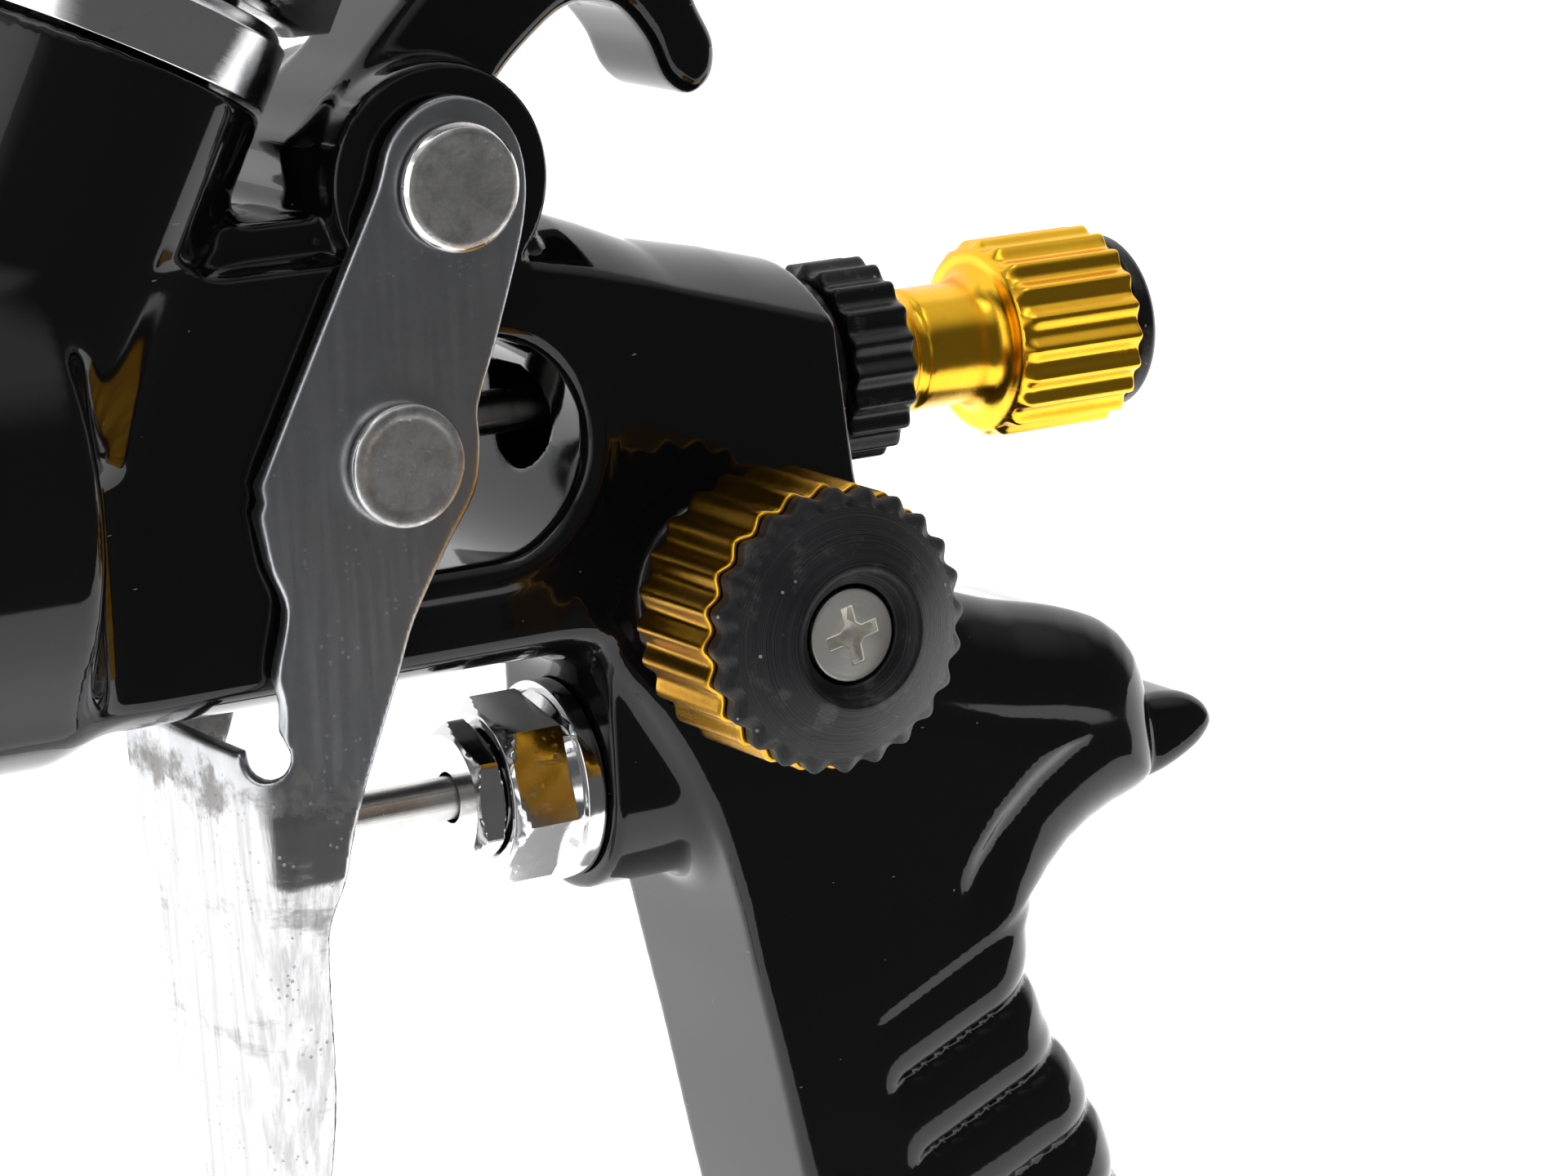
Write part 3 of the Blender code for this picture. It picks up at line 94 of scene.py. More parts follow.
HOOK = (
    (-8.0, 12.0, 1), (-10.2, 22.4, 0), (-7.0, 25.4, 0), (-2.4, 30.2, 0), (2.0, 34.6, 0),
    (7.5, 38.8, 0), (14.0, 40.6, 0), (20.0, 39.2, 0), (23.6, 35.2, 0), (25.3, 30.5, 0),
    (26.7, 27.4, 0), (26.3, 24.7, 0), (24.4, 23.5, 0), (22.4, 25.0, 0), (20.9, 28.2, 0),
    (18.3, 30.9, 0), (14.4, 31.3, 0), (10.8, 29.1, 0), (7.4, 25.8, 0), (5.0, 21.0, 0), (5.0, 12.0, 1),
)
TRIGGER_SIDE = (
    (-6.4, 20.2, 0), (-9.3, 14.7, 0), (-15.0, 4.0, 0), (-17.3, -0.4, 1), (-17.1, -1.6, 1),
    (-17.5, -2.6, 1), (-16.8, -6.7, 0), (-15.8, -9.8, 0), (-16.9, -14.7, 0), (-16.5, -17.2, 0),
    (-16.8, -20.4, 1), (-34.0, -20.9, 1), (-34.0, -80.5, 1), (-22.6, -80.0, 1), (-17.5, -70.0, 0),
    (-13.2, -58.0, 0), (-12.5, -48.5, 0), (-13.4, -35.4, 0), (-12.1, -31.2, 0), (-10.9, -26.0, 0),
    (-7.0, -16.3, 0), (-5.4, -12.2, 0), (-2.3, -7.0, 0), (0.3, -3.1, 0), (0.9, 0.4, 0),
    (0.9, 3.1, 0), (2.7, 7.8, 0), (5.3, 15.4, 0), (5.95, 19.5, 0), (5.3, 23.0, 0), (3.2, 25.5, 0),
    (0.3, 26.5, 0), (-2.7, 25.8, 0), (-5.1, 23.6, 0),
)
# Heights against widths and places along the gun, for the shapes that change as they go
CREST = ((-40, 16.4), (6, 16.4), (12.1, 15.5), (15.6, 14.2), (19.9, 12.4), (27.2, 10.8), (36, 8.4))
CREASE = ((-40, 14.8), (-4, 14.6), (6.2, 12.8), (10.4, 11.8), (17.4, 10.0), (24.5, 7.8), (36, 4.2))
WEB_FRONT = (
    (-81, -26.6), (-78, -25.0), (-69, -20.5), (-58.6, -18.7), (-35.8, -19.1), (-22, -19.6), (30, -19.6),
)
TRIGGER_WIDTH = ((-81, 6.2), (-60, 7.0), (-44, 9.7), (-31, 12.2), (-26, 12.6), (30, 12.6))


# ---- Numbers and outlines -------------------------------------------------------------------------


def flowing(points, steps=5):
    """A closed outline that runs smoothly through its points, except where a point is a corner."""
    places = np.array([point[:2] for point in points], float)
    corner = [point[2] for point in points]
    count = len(places)
    tangents = (np.roll(places, -1, 0) - np.roll(places, 1, 0)) / 2
    outline = []
    for i in range(count):
        j = (i + 1) % count
        span = places[j] - places[i]
        length = np.linalg.norm(span)
        leave = span if corner[i] else tangents[i] * min(1, length / np.linalg.norm(tangents[i]))
        arrive = span if corner[j] else tangents[j] * min(1, length / np.linalg.norm(tangents[j]))
        for t in np.arange(steps) / steps:
            outline.append(
                places[i] * (2 * t**3 - 3 * t**2 + 1) + leave * (t**3 - 2 * t**2 + t)
                + places[j] * (3 * t**2 - 2 * t**3) + arrive * (t**3 - t**2)
            )
    return np.array(outline)


def table(pairs, at):
    """The value that a table of (place, value) pairs gives at these places."""
    stations = np.array(pairs, float)
    return np.interp(at, stations[:, 0], stations[:, 1])


def eased(profile, size, closed=False, cuts=3):
    """A profile with its corners rounded by up to this size."""
    places = [np.array(place, float) for place in profile]
    count = len(places)
    made = []
    for i, here in enumerate(places):
        if not closed and i in (0, count - 1):
            made.append(tuple(here))
            continue
        before, after = places[i - 1] - here, places[(i + 1) % count] - here
        short = min(np.linalg.norm(before), np.linalg.norm(after))
        back = min(size, 0.45 * short)
        first = here + before / np.linalg.norm(before) * back
        last = here + after / np.linalg.norm(after) * back
        for t in np.arange(cuts + 1) / cuts:
            made.append(tuple((1 - t) ** 2 * first + 2 * t * (1 - t) * here + t**2 * last))
    return made


def dense(profile, spacing, closed=False):
    """A profile with extra points, so that no stretch is longer than the spacing."""
    ends = list(profile[1:]) + ([profile[0]] if closed else [])
    made = []
    for (a, r), (b, s) in zip(profile, ends):
        cuts = max(1, math.ceil(math.hypot(b - a, s - r) / spacing))
        made += [(a + (b - a) * i / cuts, r + (s - r) * i / cuts) for i in range(cuts)]
    return made if closed else made + [profile[-1]]


def frame_of(direction):
    """Columns across, up and along for a piece that points in this direction."""
    up = Y_AXIS if abs(direction[2]) > 0.99 else Z_AXIS
    across = np.cross(up, direction)
    across = across / np.linalg.norm(across)
    return np.stack((across, np.cross(direction, across), direction), axis=1)


# ---- Meshes ---------------------------------------------------------------------------------------


def mesh_object(name, points, faces, sharp=40.0, outward=True):
    """An object from points in millimetres, with edges above the sharp angle kept crisp."""
    mesh = bpy.data.meshes.new(name)
    mesh.from_pydata(((points + OFFSET) * MM).tolist(), [], faces)
    if outward:
        work = bmesh.new()
        work.from_mesh(mesh)
        bmesh.ops.recalc_face_normals(work, faces=work.faces)
        work.to_mesh(mesh)
        work.free()
    mesh.shade_smooth()
    if sharp:
        mesh.set_sharp_from_angle(angle=math.radians(sharp))
    obj = bpy.data.objects.new(name, mesh)
    bpy.context.scene.collection.objects.link(obj)
    return obj


def lathe(name, profile, centre, direction, steps=96, reach=None, closed=False, sharp=40.0):
    """A turned piece. The reach function can change the radius round the turn, for flutes and flats."""
    turns = np.arange(steps) * math.tau / steps
    axes = frame_of(direction)
    points, rows, faces = [], [], []
    for along, radius in profile:
        if radius < 1e-6:
            rows.append([len(points)] * steps)
            points.append(centre + axes[:, 2] * along)
            continue
        radii = np.full(steps, radius) if reach is None else reach(along, radius, turns)
        rows.append(list(range(len(points), len(points) + steps)))
        local = np.stack((radii * np.cos(turns), radii * np.sin(turns), np.full(steps, along)))
        points += list(centre + (axes @ local).T)
    for first, last in zip(rows, rows[1:] + ([rows[0]] if closed else [])):
        for i in range(steps):
            j = (i + 1) % steps
            face = (first[i], first[j], last[j], last[i])
            faces.append(tuple(dict.fromkeys(face)))
    return mesh_object(name, np.array(points), [face for face in faces if len(face) > 2], sharp)


def flutes(count, depth, start, end, run, inside, power=1.0):
    """A reach with scooped flutes that fade out over a run at each end."""

    def reach(along, radius, turns):
        if radius < inside:
            return np.full(turns.shape, radius)
        ends = min((along - start) / run, (end - along) / run, 1.0)
        fade = math.sqrt(max(0.0, 1 - (1 - ends) ** 2)) if ends > 0 else 0.0
        scoop = (0.5 - 0.5 * np.cos(count * turns)) ** power
        return radius - depth * fade * scoop

    return reach


def flats(across, phase, inside):
    """A reach that cuts a hexagon out of the round where it is wider than the flats."""

    def reach(along, radius, turns):
        if radius < inside:
            return np.full(turns.shape, radius)
        sixth = math.pi / 3
        limit = across / 2 / np.cos((turns - phase) % sixth - sixth / 2)
        return np.minimum(radius, limit)

    return reach


def thread(depth, pitch, start, end, inside):
    """A reach that cuts a screw thread along a stretch."""

    def reach(along, radius, turns):
        if radius < inside or not start < along < end:
            return np.full(turns.shape, radius)
        wave = np.abs((along / pitch + turns / math.tau) % 1.0 - 0.5) * 2
        return radius - depth * wave

    return reach


# ---- Distance fields, for cast and stamped pieces --------------------------------------------------


def outline_distance(across, up, outline):
    """Distance to a closed outline, below zero inside."""
    best = np.full(across.shape, 1e9)
    inside = np.zeros(across.shape, bool)
    for (x0, z0), (x1, z1) in zip(outline, np.roll(outline, -1, axis=0)):
        ex, ez = x1 - x0, z1 - z0
        wx, wz = across - x0, up - z0
        t = np.clip((wx * ex + wz * ez) / (ex * ex + ez * ez), 0, 1)
        best = np.minimum(best, (wx - ex * t) ** 2 + (wz - ez * t) ** 2)
        if abs(ez) > 1e-9:
            inside ^= ((z0 > up) != (z1 > up)) & (wx < ex * wz / ez)
    return np.where(inside, -1.0, 1.0) * np.sqrt(best)


def rounded(flat, over, edge):
    """The meeting of two distances, with a rounded edge between them."""
    a, b = flat + edge, over + edge
    return np.minimum(np.maximum(a, b), 0) + np.hypot(np.maximum(a, 0), np.maximum(b, 0)) - edge


def blend(a, b, width):
    """Two shapes joined, with a fillet of this width."""
    share = np.maximum(width - np.abs(a - b), 0) / width
    return np.minimum(a, b) - share**2 * width / 4


def meet(a, b, width):
    """What two shapes share, with its new edges rounded over this width."""
    return -blend(-a, -b, width)


def carve(a, b, width=0.4):
    """The first shape without the second."""
    return meet(a, -b, width)


def bar(points, centre, axis, start, end, radius, edge=0.2):
    """Distance to a round bar along an axis, its ends rounded over."""
    offset = points - centre
    along = offset @ axis
    away = np.linalg.norm(offset - along[:, None] * axis, axis=1)
    return rounded(away - radius, np.abs(along - (start + end) / 2) - (end - start) / 2, edge)


def spaced(*stretches):
    """Grid planes over (start, end, spacing) stretches that join up."""
    planes = [np.arange(start, end - spacing / 2, spacing) for start, end, spacing in stretches]
    return np.concatenate((*planes, [stretches[-1][1]]))


def narrow_band(field, axes, stride=4, band=4.0):
    """The field on the grid, worked out closely only near the surface."""
    near = [np.unique(np.r_[0:len(axis):stride, len(axis) - 1]) for axis in axes]
    coarse_axes = [axis[index] for axis, index in zip(axes, near)]
    grid = np.stack(np.meshgrid(*coarse_axes, indexing="ij"), -1)
    coarse = field(grid.reshape(-1, 3)).reshape(grid.shape[:3])
    nearest = [
        np.abs(axis[:, None] - few[None, :]).argmin(1) for axis, few in zip(axes, coarse_axes)
    ]
    values = coarse[np.ix_(*nearest)].copy()
    wanted = np.argwhere(np.abs(values) < band)
    for start in range(0, len(wanted), 300000):
        part = wanted[start:start + 300000]
        places = np.stack([axis[part[:, k]] for k, axis in enumerate(axes)], 1)
        values[tuple(part.T)] = field(places)
    return values


def settle(field, points, rounds=3, step=0.02):
    """Moves points onto the surface along the field's slope."""
    for _ in range(rounds):
        value = field(points)
        slope = np.stack([field(points + step * axis) - value for axis in np.eye(3)], 1) / step
        size = np.maximum((slope**2).sum(1), 0.05)
        move = slope * (value / size)[:, None]
        length = np.maximum(np.linalg.norm(move, axis=1), 1e-9)
        points = points - move * np.minimum(1, 0.5 / length)[:, None]
    return points


def skin(name, field, axes, sharp=None):
    """A closed mesh over the field's zero surface: one point per crossed cell, settled on the surface."""
    values = narrow_band(field, axes)
    inside = values < 0
    shape = np.array(inside.shape) - 1
    corners = [np.array((i, j, k)) for i in (0, 1) for j in (0, 1) for k in (0, 1)]
    filled = sum(
        inside[c[0]:c[0] + shape[0], c[1]:c[1] + shape[1], c[2]:c[2] + shape[2]].astype(np.int8)
        for c in corners
    )
    cells = np.argwhere((filled > 0) & (filled < 8))
    number = np.full(tuple(shape), -1)
    number[tuple(cells.T)] = np.arange(len(cells))
    total, crossings = np.zeros((len(cells), 3)), np.zeros(len(cells))
    for low in corners:
        for axis in range(3):
            if low[axis]:
                continue
            high = low.copy()
            high[axis] = 1
            a, b = cells + low, cells + high
            va, vb = values[tuple(a.T)], values[tuple(b.T)]
            crossed = (va < 0) != (vb < 0)
            pa = np.stack([axes[k][a[:, k]] for k in range(3)], 1)
            pb = np.stack([axes[k][b[:, k]] for k in range(3)], 1)
            share = np.where(crossed, va / np.where(crossed, va - vb, 1), 0)[:, None]
            total += np.where(crossed[:, None], pa + (pb - pa) * share, 0)
            crossings += crossed
    points = total / crossings[:, None]
    quads = []
    for axis in range(3):
        b, c = (axis + 1) % 3, (axis + 2) % 3
        low = [slice(None)] * 3
        high = [slice(None)] * 3
        low[axis], high[axis] = slice(0, -1), slice(1, None)
        change = inside[tuple(low)] != inside[tuple(high)]
        edges = np.argwhere(change)
        keep = (edges[:, b] > 0) & (edges[:, c] > 0) & (edges[:, b] < shape[b]) & (edges[:, c] < shape[c])
        edges = edges[keep]
        leaving = inside[tuple(edges.T)]
        around = []
        for db, dc in ((-1, -1), (0, -1), (0, 0), (-1, 0)):
            cell = edges.copy()
            cell[:, b] += db
            cell[:, c] += dc
            around.append(number[tuple(cell.T)])
        quad = np.stack(around, 1)
        quads.append(np.where(leaving[:, None], quad, quad[:, ::-1]))
    quads = np.concatenate(quads)
    points = settle(field, points, 2)
    pairs = np.concatenate([quads[:, [0, 1]], quads[:, [1, 2]], quads[:, [2, 3]], quads[:, [3, 0]]])
    for _ in range(2):
        sums, counts = np.zeros_like(points), np.zeros(len(points))
        np.add.at(sums, pairs[:, 0], points[pairs[:, 1]])
        np.add.at(counts, pairs[:, 0], 1)
        points = settle(field, points + 0.5 * (sums / counts[:, None] - points), 1)
    return mesh_object(name, points, quads.tolist(), sharp, outward=False)


# ---- Finishes -------------------------------------------------------------------------------------


class Wire:
    """A socket of a shader tree. Arithmetic on it adds Math nodes, and add() puts in any other node."""

    def __init__(self, tree, socket=None):
        self.tree = tree
        self.socket = socket

    def add(self, kind, settings=None, values=None, output=0):
        node = self.tree.nodes.new(kind)
        for key, value in (settings or {}).items():
            setattr(node, key, value)
        for key, value in (values or {}).items():
            if isinstance(value, Wire):
                self.tree.links.new(value.socket, node.inputs[key])
            else:
                node.inputs[key].default_value = value
        return Wire(self.tree, node.outputs[output])

    def math(self, operation, *values):
        return self.add("ShaderNodeMath", {"operation": operation}, dict(enumerate(values)))

    def __add__(self, other):
        return self.math("ADD", self, other)

    def __sub__(self, other):
        return self.math("SUBTRACT", self, other)

    def __rsub__(self, other):
        return self.math("SUBTRACT", other, self)

    def __mul__(self, other):
        return self.math("MULTIPLY", self, other)

    def __abs__(self):
        return self.math("ABSOLUTE", self)

    __radd__ = __add__
    __rmul__ = __mul__

    def most(self, other):
        return self.math("MAXIMUM", self, other)

    def step(self, low, high):
        """0 below low and 1 above high, smooth between."""
        values = {"Value": self, "From Min": low, "From Max": high}
        return self.add("ShaderNodeMapRange", {"interpolation_type": "SMOOTHSTEP"}, values)

    def vector(self, operation, *others, output=0):
        values = dict(enumerate((self, *others)))
        return self.add("ShaderNodeVectorMath", {"operation": operation}, values, output)

    def axis(self, index):
        return self.add("ShaderNodeSeparateXYZ", None, {0: self}, index)

    def noise(self, scale, detail=3.0, roughness=0.5, stretch=(1, 1, 1)):
        place = self.vector("MULTIPLY", stretch)
        values = {"Vector": place, "Scale": scale, "Detail": detail, "Roughness": roughness}
        return self.add("ShaderNodeTexNoise", None, values)

    def specks(self, scale, size):
        """1 in small scattered dots, 0 between them."""
        values = {"Vector": self, "Scale": scale}
        near = self.add("ShaderNodeTexVoronoi", {"feature": "F1"}, values)
        return 1 - near.step(size * 0.6, size)

    def lines(self, scale, detail=2.0):
        """A one-way noise of a single number, for turned and brushed marks."""
        settings = {"noise_dimensions": "1D"}
        return self.add("ShaderNodeTexNoise", settings, {"W": self * scale, "Detail": detail})

    def mix(self, first, second):
        """Two colours, mixed by this factor."""
        return self.add(
            "ShaderNodeMix", {"data_type": "RGBA", "clamp_factor": True},
            {0: self, 6: opaque(first), 7: opaque(second)}, 2,
        )

    def bump(self, strength, distance):
        values = {"Strength": strength, "Distance": distance, "Height": self}
        return self.add("ShaderNodeBump", None, values)


def opaque(colour):
    return colour if isinstance(colour, Wire) else (*colour, 1.0)


def material(name, inputs, constants):
    """A Principled material. inputs(place) gives the wired inputs from the object's own coordinates."""
    made = bpy.data.materials.new(name)
    made.use_nodes = True
    tree = made.node_tree
    shader = tree.nodes["Principled BSDF"]
    for key, value in constants.items():
        shader.inputs[key].default_value = value
    place = Wire(tree).add("ShaderNodeTexCoord", output=3)
    for key, wire in inputs(place).items():
        tree.links.new(wire.socket, shader.inputs[key])
    return made


def world_point(place):
    return tuple((place + OFFSET) * MM)


def about_axis(place, centre, axis):
    """(distance along, distance from) an axis, in metres, at a place."""
    offset = place.vector("SUBTRACT", world_point(centre))
    along = offset.vector("DOT_PRODUCT", tuple(axis), output=1)
    away = offset.vector("CROSS_PRODUCT", tuple(axis)).vector("LENGTH", output=1)
    return along, away


def gloss_paint(name):
    """Deep black paint with a little haze, orange peel, dust and lint."""

    def inputs(place):
        haze = place.noise(55, 5).step(0.35, 0.75)
        dust = place.specks(520, 0.055) * place.noise(160, 2).step(0.58, 0.64)
        fibre = place.noise(300, 2, 0.5, (1, 1, 5)).step(0.765, 0.775)
        dirt = dust.most(fibre)
        peel = place.noise(700, 2) * 0.5 + place.noise(90, 2) * 1.2
        return {
            "Base Color": (dirt * 0.8).mix((0.0045, 0.0045, 0.005), (0.30, 0.29, 0.27)),
            "Roughness": haze * 0.05 + dirt * 0.45 + 0.045,
            "Normal": (peel + dirt * 1.5).bump(0.08, 0.00006),
        }

    return material(name, inputs, {"IOR": 1.41})


def metal(name, light, dark, smooth, rough, centre=None, axis=None, marks=0.25, speckle=0.0, pits=0.0):
    """A worked metal: turned lines about an axis when one is given, with stains, scratches and pits."""

    def inputs(place):
        stain = place.noise(210, 6, 0.65).step(0.3, 0.75)
        hair = place.noise(90, 3, 0.6, (1, 1, 22)) + place.noise(70, 3, 0.6, (18, 1, 1))
        scratch = hair.step(1.22, 1.36)
        height = hair * 0.25
        if axis is not None:
            along, away = about_axis(place, centre, axis)
            height = along.lines(11000) + away.lines(11000)
        spots = place.specks(900, 0.22) * place.noise(300, 3).step(0.55, 0.65)
        shade = stain * speckle + spots * pits
        return {
            "Base Color": shade.mix(light, dark),
            "Roughness": stain * (rough - smooth) + scratch * 0.12 + spots * pits * 0.3 + smooth,
            "Normal": (height - spots * pits * 2 - scratch * 0.4).bump(marks, 0.00003),
        }

    return material(name, inputs, {"Metallic": 1.0})


def trigger_steel(name):
    """Steel that is dull and spotted on the upper plates, and brushed bright down the finger part, with
    painted grey reflection bands down that part.
    """

    def inputs(place):
        height = place.axis(2)
        ragged = place.noise(170, 5) * 0.010
        bright = 1 - (height + ragged).step(0.1080, 0.1140)
        brushed = place.noise(120, 4, 0.6, (8, 8, 0.35))
        fine = place.noise(420, 3, 0.6, (6, 6, 0.25))
        blotch = place.noise(130, 7, 0.7).step(0.25, 0.8)
        spots = place.specks(1500, 0.26) * place.noise(340, 3).step(0.5, 0.62)
        burn = (place.noise(260, 6, 0.75) + bright * (1 - bright) * 1.6).step(0.72, 0.98)
        scuff = place.noise(75, 5, 0.7, (1, 1, 3)).step(0.56, 0.70) * bright
        dull = blotch.mix((0.56, 0.57, 0.59), (0.36, 0.37, 0.39))
        # Painted reflection: long vertical noise bands darken the finger part's colour towards grey in place
        # of reflected shade, and also roughen it slightly like brushed streaks.
        streak_and_painted_reflection = place.noise(300, 5, 0.65, (4, 4, 0.22)).step(0.38, 0.66)
        clean = (scuff * 0.5 + streak_and_painted_reflection * 0.55).mix((0.60, 0.60, 0.61), (0.30, 0.30, 0.30))
        base = bright.mix(dull, clean)
        marks = (spots * 0.35).most(burn * 0.7)
        rough = (blotch + 1) * (1 - bright) * 0.10 + scuff * 0.20 + spots * 0.2 + streak_and_painted_reflection * 0.06 + 0.15
        drawn = bright * (brushed + fine * 0.8) * 0.8
        relief = drawn + (1 - bright) * place.noise(520, 5, 0.7) - spots * 0.25
        return {
            "Base Color": marks.mix(base, (0.16, 0.15, 0.14)),
            "Roughness": rough + burn * 0.25,
            "Normal": relief.bump(0.40, 0.00006),
        }

    return material(name, inputs, {"Metallic": 1.0})


def pin_steel(name):
    """Bright turned rims about a blotched satin face."""

    def inputs(place):
        across = abs(place.axis(1))
        face = across.step((HEAD_OUT - 0.25) * MM, (HEAD_OUT - 0.05) * MM)
        blotch = place.noise(420, 8, 0.75).step(0.32, 0.66)
        spots = place.specks(1500, 0.3) * place.noise(400, 3).step(0.5, 0.6)
        worn = face * blotch
        return {
            "Base Color": worn.mix((0.78, 0.77, 0.76), (0.34, 0.34, 0.34)),
            "Roughness": face * 0.30 + worn * 0.12 + 0.10,
            "Normal": (face * (place.noise(900, 6, 0.75) - blotch * 0.5) - spots * 0.6).bump(0.35, 0.00006),
        }

    return material(name, inputs, {"Metallic": 1.0})


def anodised_black(name, centre, axis, smooth=0.22, rings=0.4):
    """Black anodised metal with turned rings about an axis."""

    def inputs(place):
        along, away = about_axis(place, centre, axis)
        ring = away.lines(4200, 3.0) + along.lines(4200, 3.0)
        dust = place.specks(700, 0.12) * place.noise(240, 2).step(0.56, 0.62)
        worn = (place.noise(340, 5, 0.7) + ring * 0.15).step(0.70, 0.85)
        return {
            "Base Color": (dust * 0.7 + worn * 0.10).mix((0.008, 0.008, 0.010), (0.40, 0.38, 0.36)),
            "Roughness": place.noise(120, 4) * 0.04 + ring * 0.05 + dust * 0.3 + smooth,
            "Normal": ring.bump(rings, 0.00004),
        }

    return material(name, inputs, {"IOR": 1.38})


def moulded(name, light, dark, rough, ripple=0.2):
    """Moulded plastic with a fine grain."""

    def inputs(place):
        grain = place.noise(900, 4, 0.6)
        cloud = place.noise(80, 5).step(0.3, 0.7)
        dust = place.specks(500, 0.10) * place.noise(160, 2).step(0.55, 0.6)
        return {
            "Base Color": (dust * 0.5).mix(cloud.mix(light, dark), (0.5, 0.48, 0.45)),
            "Roughness": grain * 0.12 + cloud * 0.08 + rough,
            "Normal": grain.bump(ripple, 0.00006),
        }

    return material(name, inputs, {"IOR": 1.46})


def make_finishes():
    """Every finish on the gun, by the short name the pieces ask for."""
    gold, gold_dark = (0.98, 0.55, 0.035), (0.78, 0.36, 0.01)
    amber, amber_dark = (0.78, 0.40, 0.02), (0.45, 0.20, 0.008)
    return {
        "paint": gloss_paint("gloss_black_paint"),
        "trigger": trigger_steel("polished_steel_stamping"),
        "pins": pin_steel("satin_steel"),
        "steel": metal(
            "turned_steel", (0.74, 0.73, 0.71), (0.50, 0.48, 0.45),
            0.14, 0.26, ZERO, X_AXIS, 0.3, 0.6,
        ),
        "chrome": metal(
            "chrome_plate", (0.86, 0.86, 0.87), (0.55, 0.55, 0.56),
            0.04, 0.12, None, None, 0.22, 0.3, 0.4,
        ),
        "collar": metal(
            "chrome_cup", (0.86, 0.86, 0.87), (0.6, 0.6, 0.6),
            0.04, 0.10, CUP_BASE, CUP_AXIS, 0.12, 0.3, 0.3,
        ),
        "valve": metal(
            "chrome_valve", (0.82, 0.82, 0.83), (0.5, 0.5, 0.5),
            0.07, 0.18, None, None, 0.5, 0.4, 0.6,
        ),
        "nickel": metal(
            "nickel", (0.86, 0.84, 0.78), (0.62, 0.59, 0.52),
            0.34, 0.50, FAN, Y_AXIS, 0.3, 0.6, 0.5,
        ),
        "gold": metal("gold_anodised", gold, gold_dark, 0.13, 0.22, ZERO, X_AXIS, 0.16, 0.35),
        "amber": metal("amber_anodised", amber, amber_dark, 0.16, 0.27, FAN, Y_AXIS, 0.16, 0.6, 0.3),
        "cap_gold": metal("amber_front", amber, amber_dark, 0.18, 0.28, ZERO, X_AXIS, 0.2, 0.5),
        "brass": metal(
            "turned_brass", (0.80, 0.58, 0.26), (0.50, 0.34, 0.12),
            0.2, 0.34, ZERO, X_AXIS, 0.3, 0.6,
        ),
        "spun": metal(
            "spun_aluminium", (0.78, 0.78, 0.79), (0.58, 0.58, 0.60),
            0.22, 0.36, CUP_BASE, CUP_AXIS, 0.5, 0.5,
        ),
        "dark": anodised_black("black_anodised", ZERO, X_AXIS, 0.20, 0.2),
        "dark_face": anodised_black("black_turned", FAN, Y_AXIS, 0.28, 0.8),
        "plastic": moulded("black_plastic", (0.014, 0.014, 0.015), (0.022, 0.022, 0.023), 0.34),
        "seal": moulded("seal_plastic", (0.78, 0.76, 0.70), (0.66, 0.63, 0.56), 0.42),
    }


FINISHES = {}


def put(obj, node, body, finish):
    """Stands the piece in for its CAD node, on its body."""
    obj.data.materials.append(FINISHES[finish])
    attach(obj, body)
    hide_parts(node)


# ---- The cast body --------------------------------------------------------------------------------

HANDLE_OUTLINE = flowing(HANDLE)
HOOK_OUTLINE = flowing(HOOK)
SPUR_OUTLINE = flowing(SPUR)
HANDLE_BACK = HANDLE_OUTLINE[50:165]
RIB_PITCH = 7.5
AIRWAY_START = np.array((56.0, 0.0, HANDLE_BOTTOM + 12.0))
AIRWAY_END = np.array((36.0, 0.0, VALVE[2]))


def back_distance(x, z):
    """Distance from the back of the handle, which sets how round its sides are."""
    best = np.full(x.shape, 1e9)
    for (x0, z0), (x1, z1) in zip(HANDLE_BACK[::3], HANDLE_BACK[3::3]):
        ex, ez = x1 - x0, z1 - z0
        t = np.clip(((x - x0) * ex + (z - z0) * ez) / (ex * ex + ez * ez), 0, 1)
        best = np.minimum(best, (x - x0 - ex * t) ** 2 + (z - z0 - ez * t) ** 2)
    return np.sqrt(best)


def smooth_step(value, low, high):
    t = np.clip((value - low) / (high - low), 0, 1)
    return t * t * (3 - 2 * t)


def handle_field(p, ribs):
    """The handle: round at its back, scooped below the horn, with valleys between its finger ribs."""
    x, y, z = p.T
    back = back_distance(x, z)
    low = smooth_step(-z, 24, 33)
    round_off = np.clip(1 - back / (9.0 - 2.5 * low), 0, 1)
    scoop = low * (1 - smooth_step(-z, 39, 47)) * smooth_step(-back, -11.2, -8.8)
    half = HANDLE_HALF - scoop - 0.9 * smooth_step(-z, 20, 45)
    half = half * np.sqrt(np.maximum(1 - 0.78 * round_off**2, 0.02))
    shape = rounded(outline_distance(x, z, HANDLE_OUTLINE), np.abs(y) - half, 1.1)
    level = z - 0.42 * x + 2.6
    valley = (1 - np.abs(np.cos(math.pi * level / RIB_PITCH))) ** 1.6
    where = smooth_step(x + 0.30 * (z + 54), 33.8, 37.2) * smooth_step(-z + 0.45 * (x - 36), 51.5, 53.5)
    where = where * (1 - smooth_step(-z, 100, 104))
    return shape + ribs * where * valley


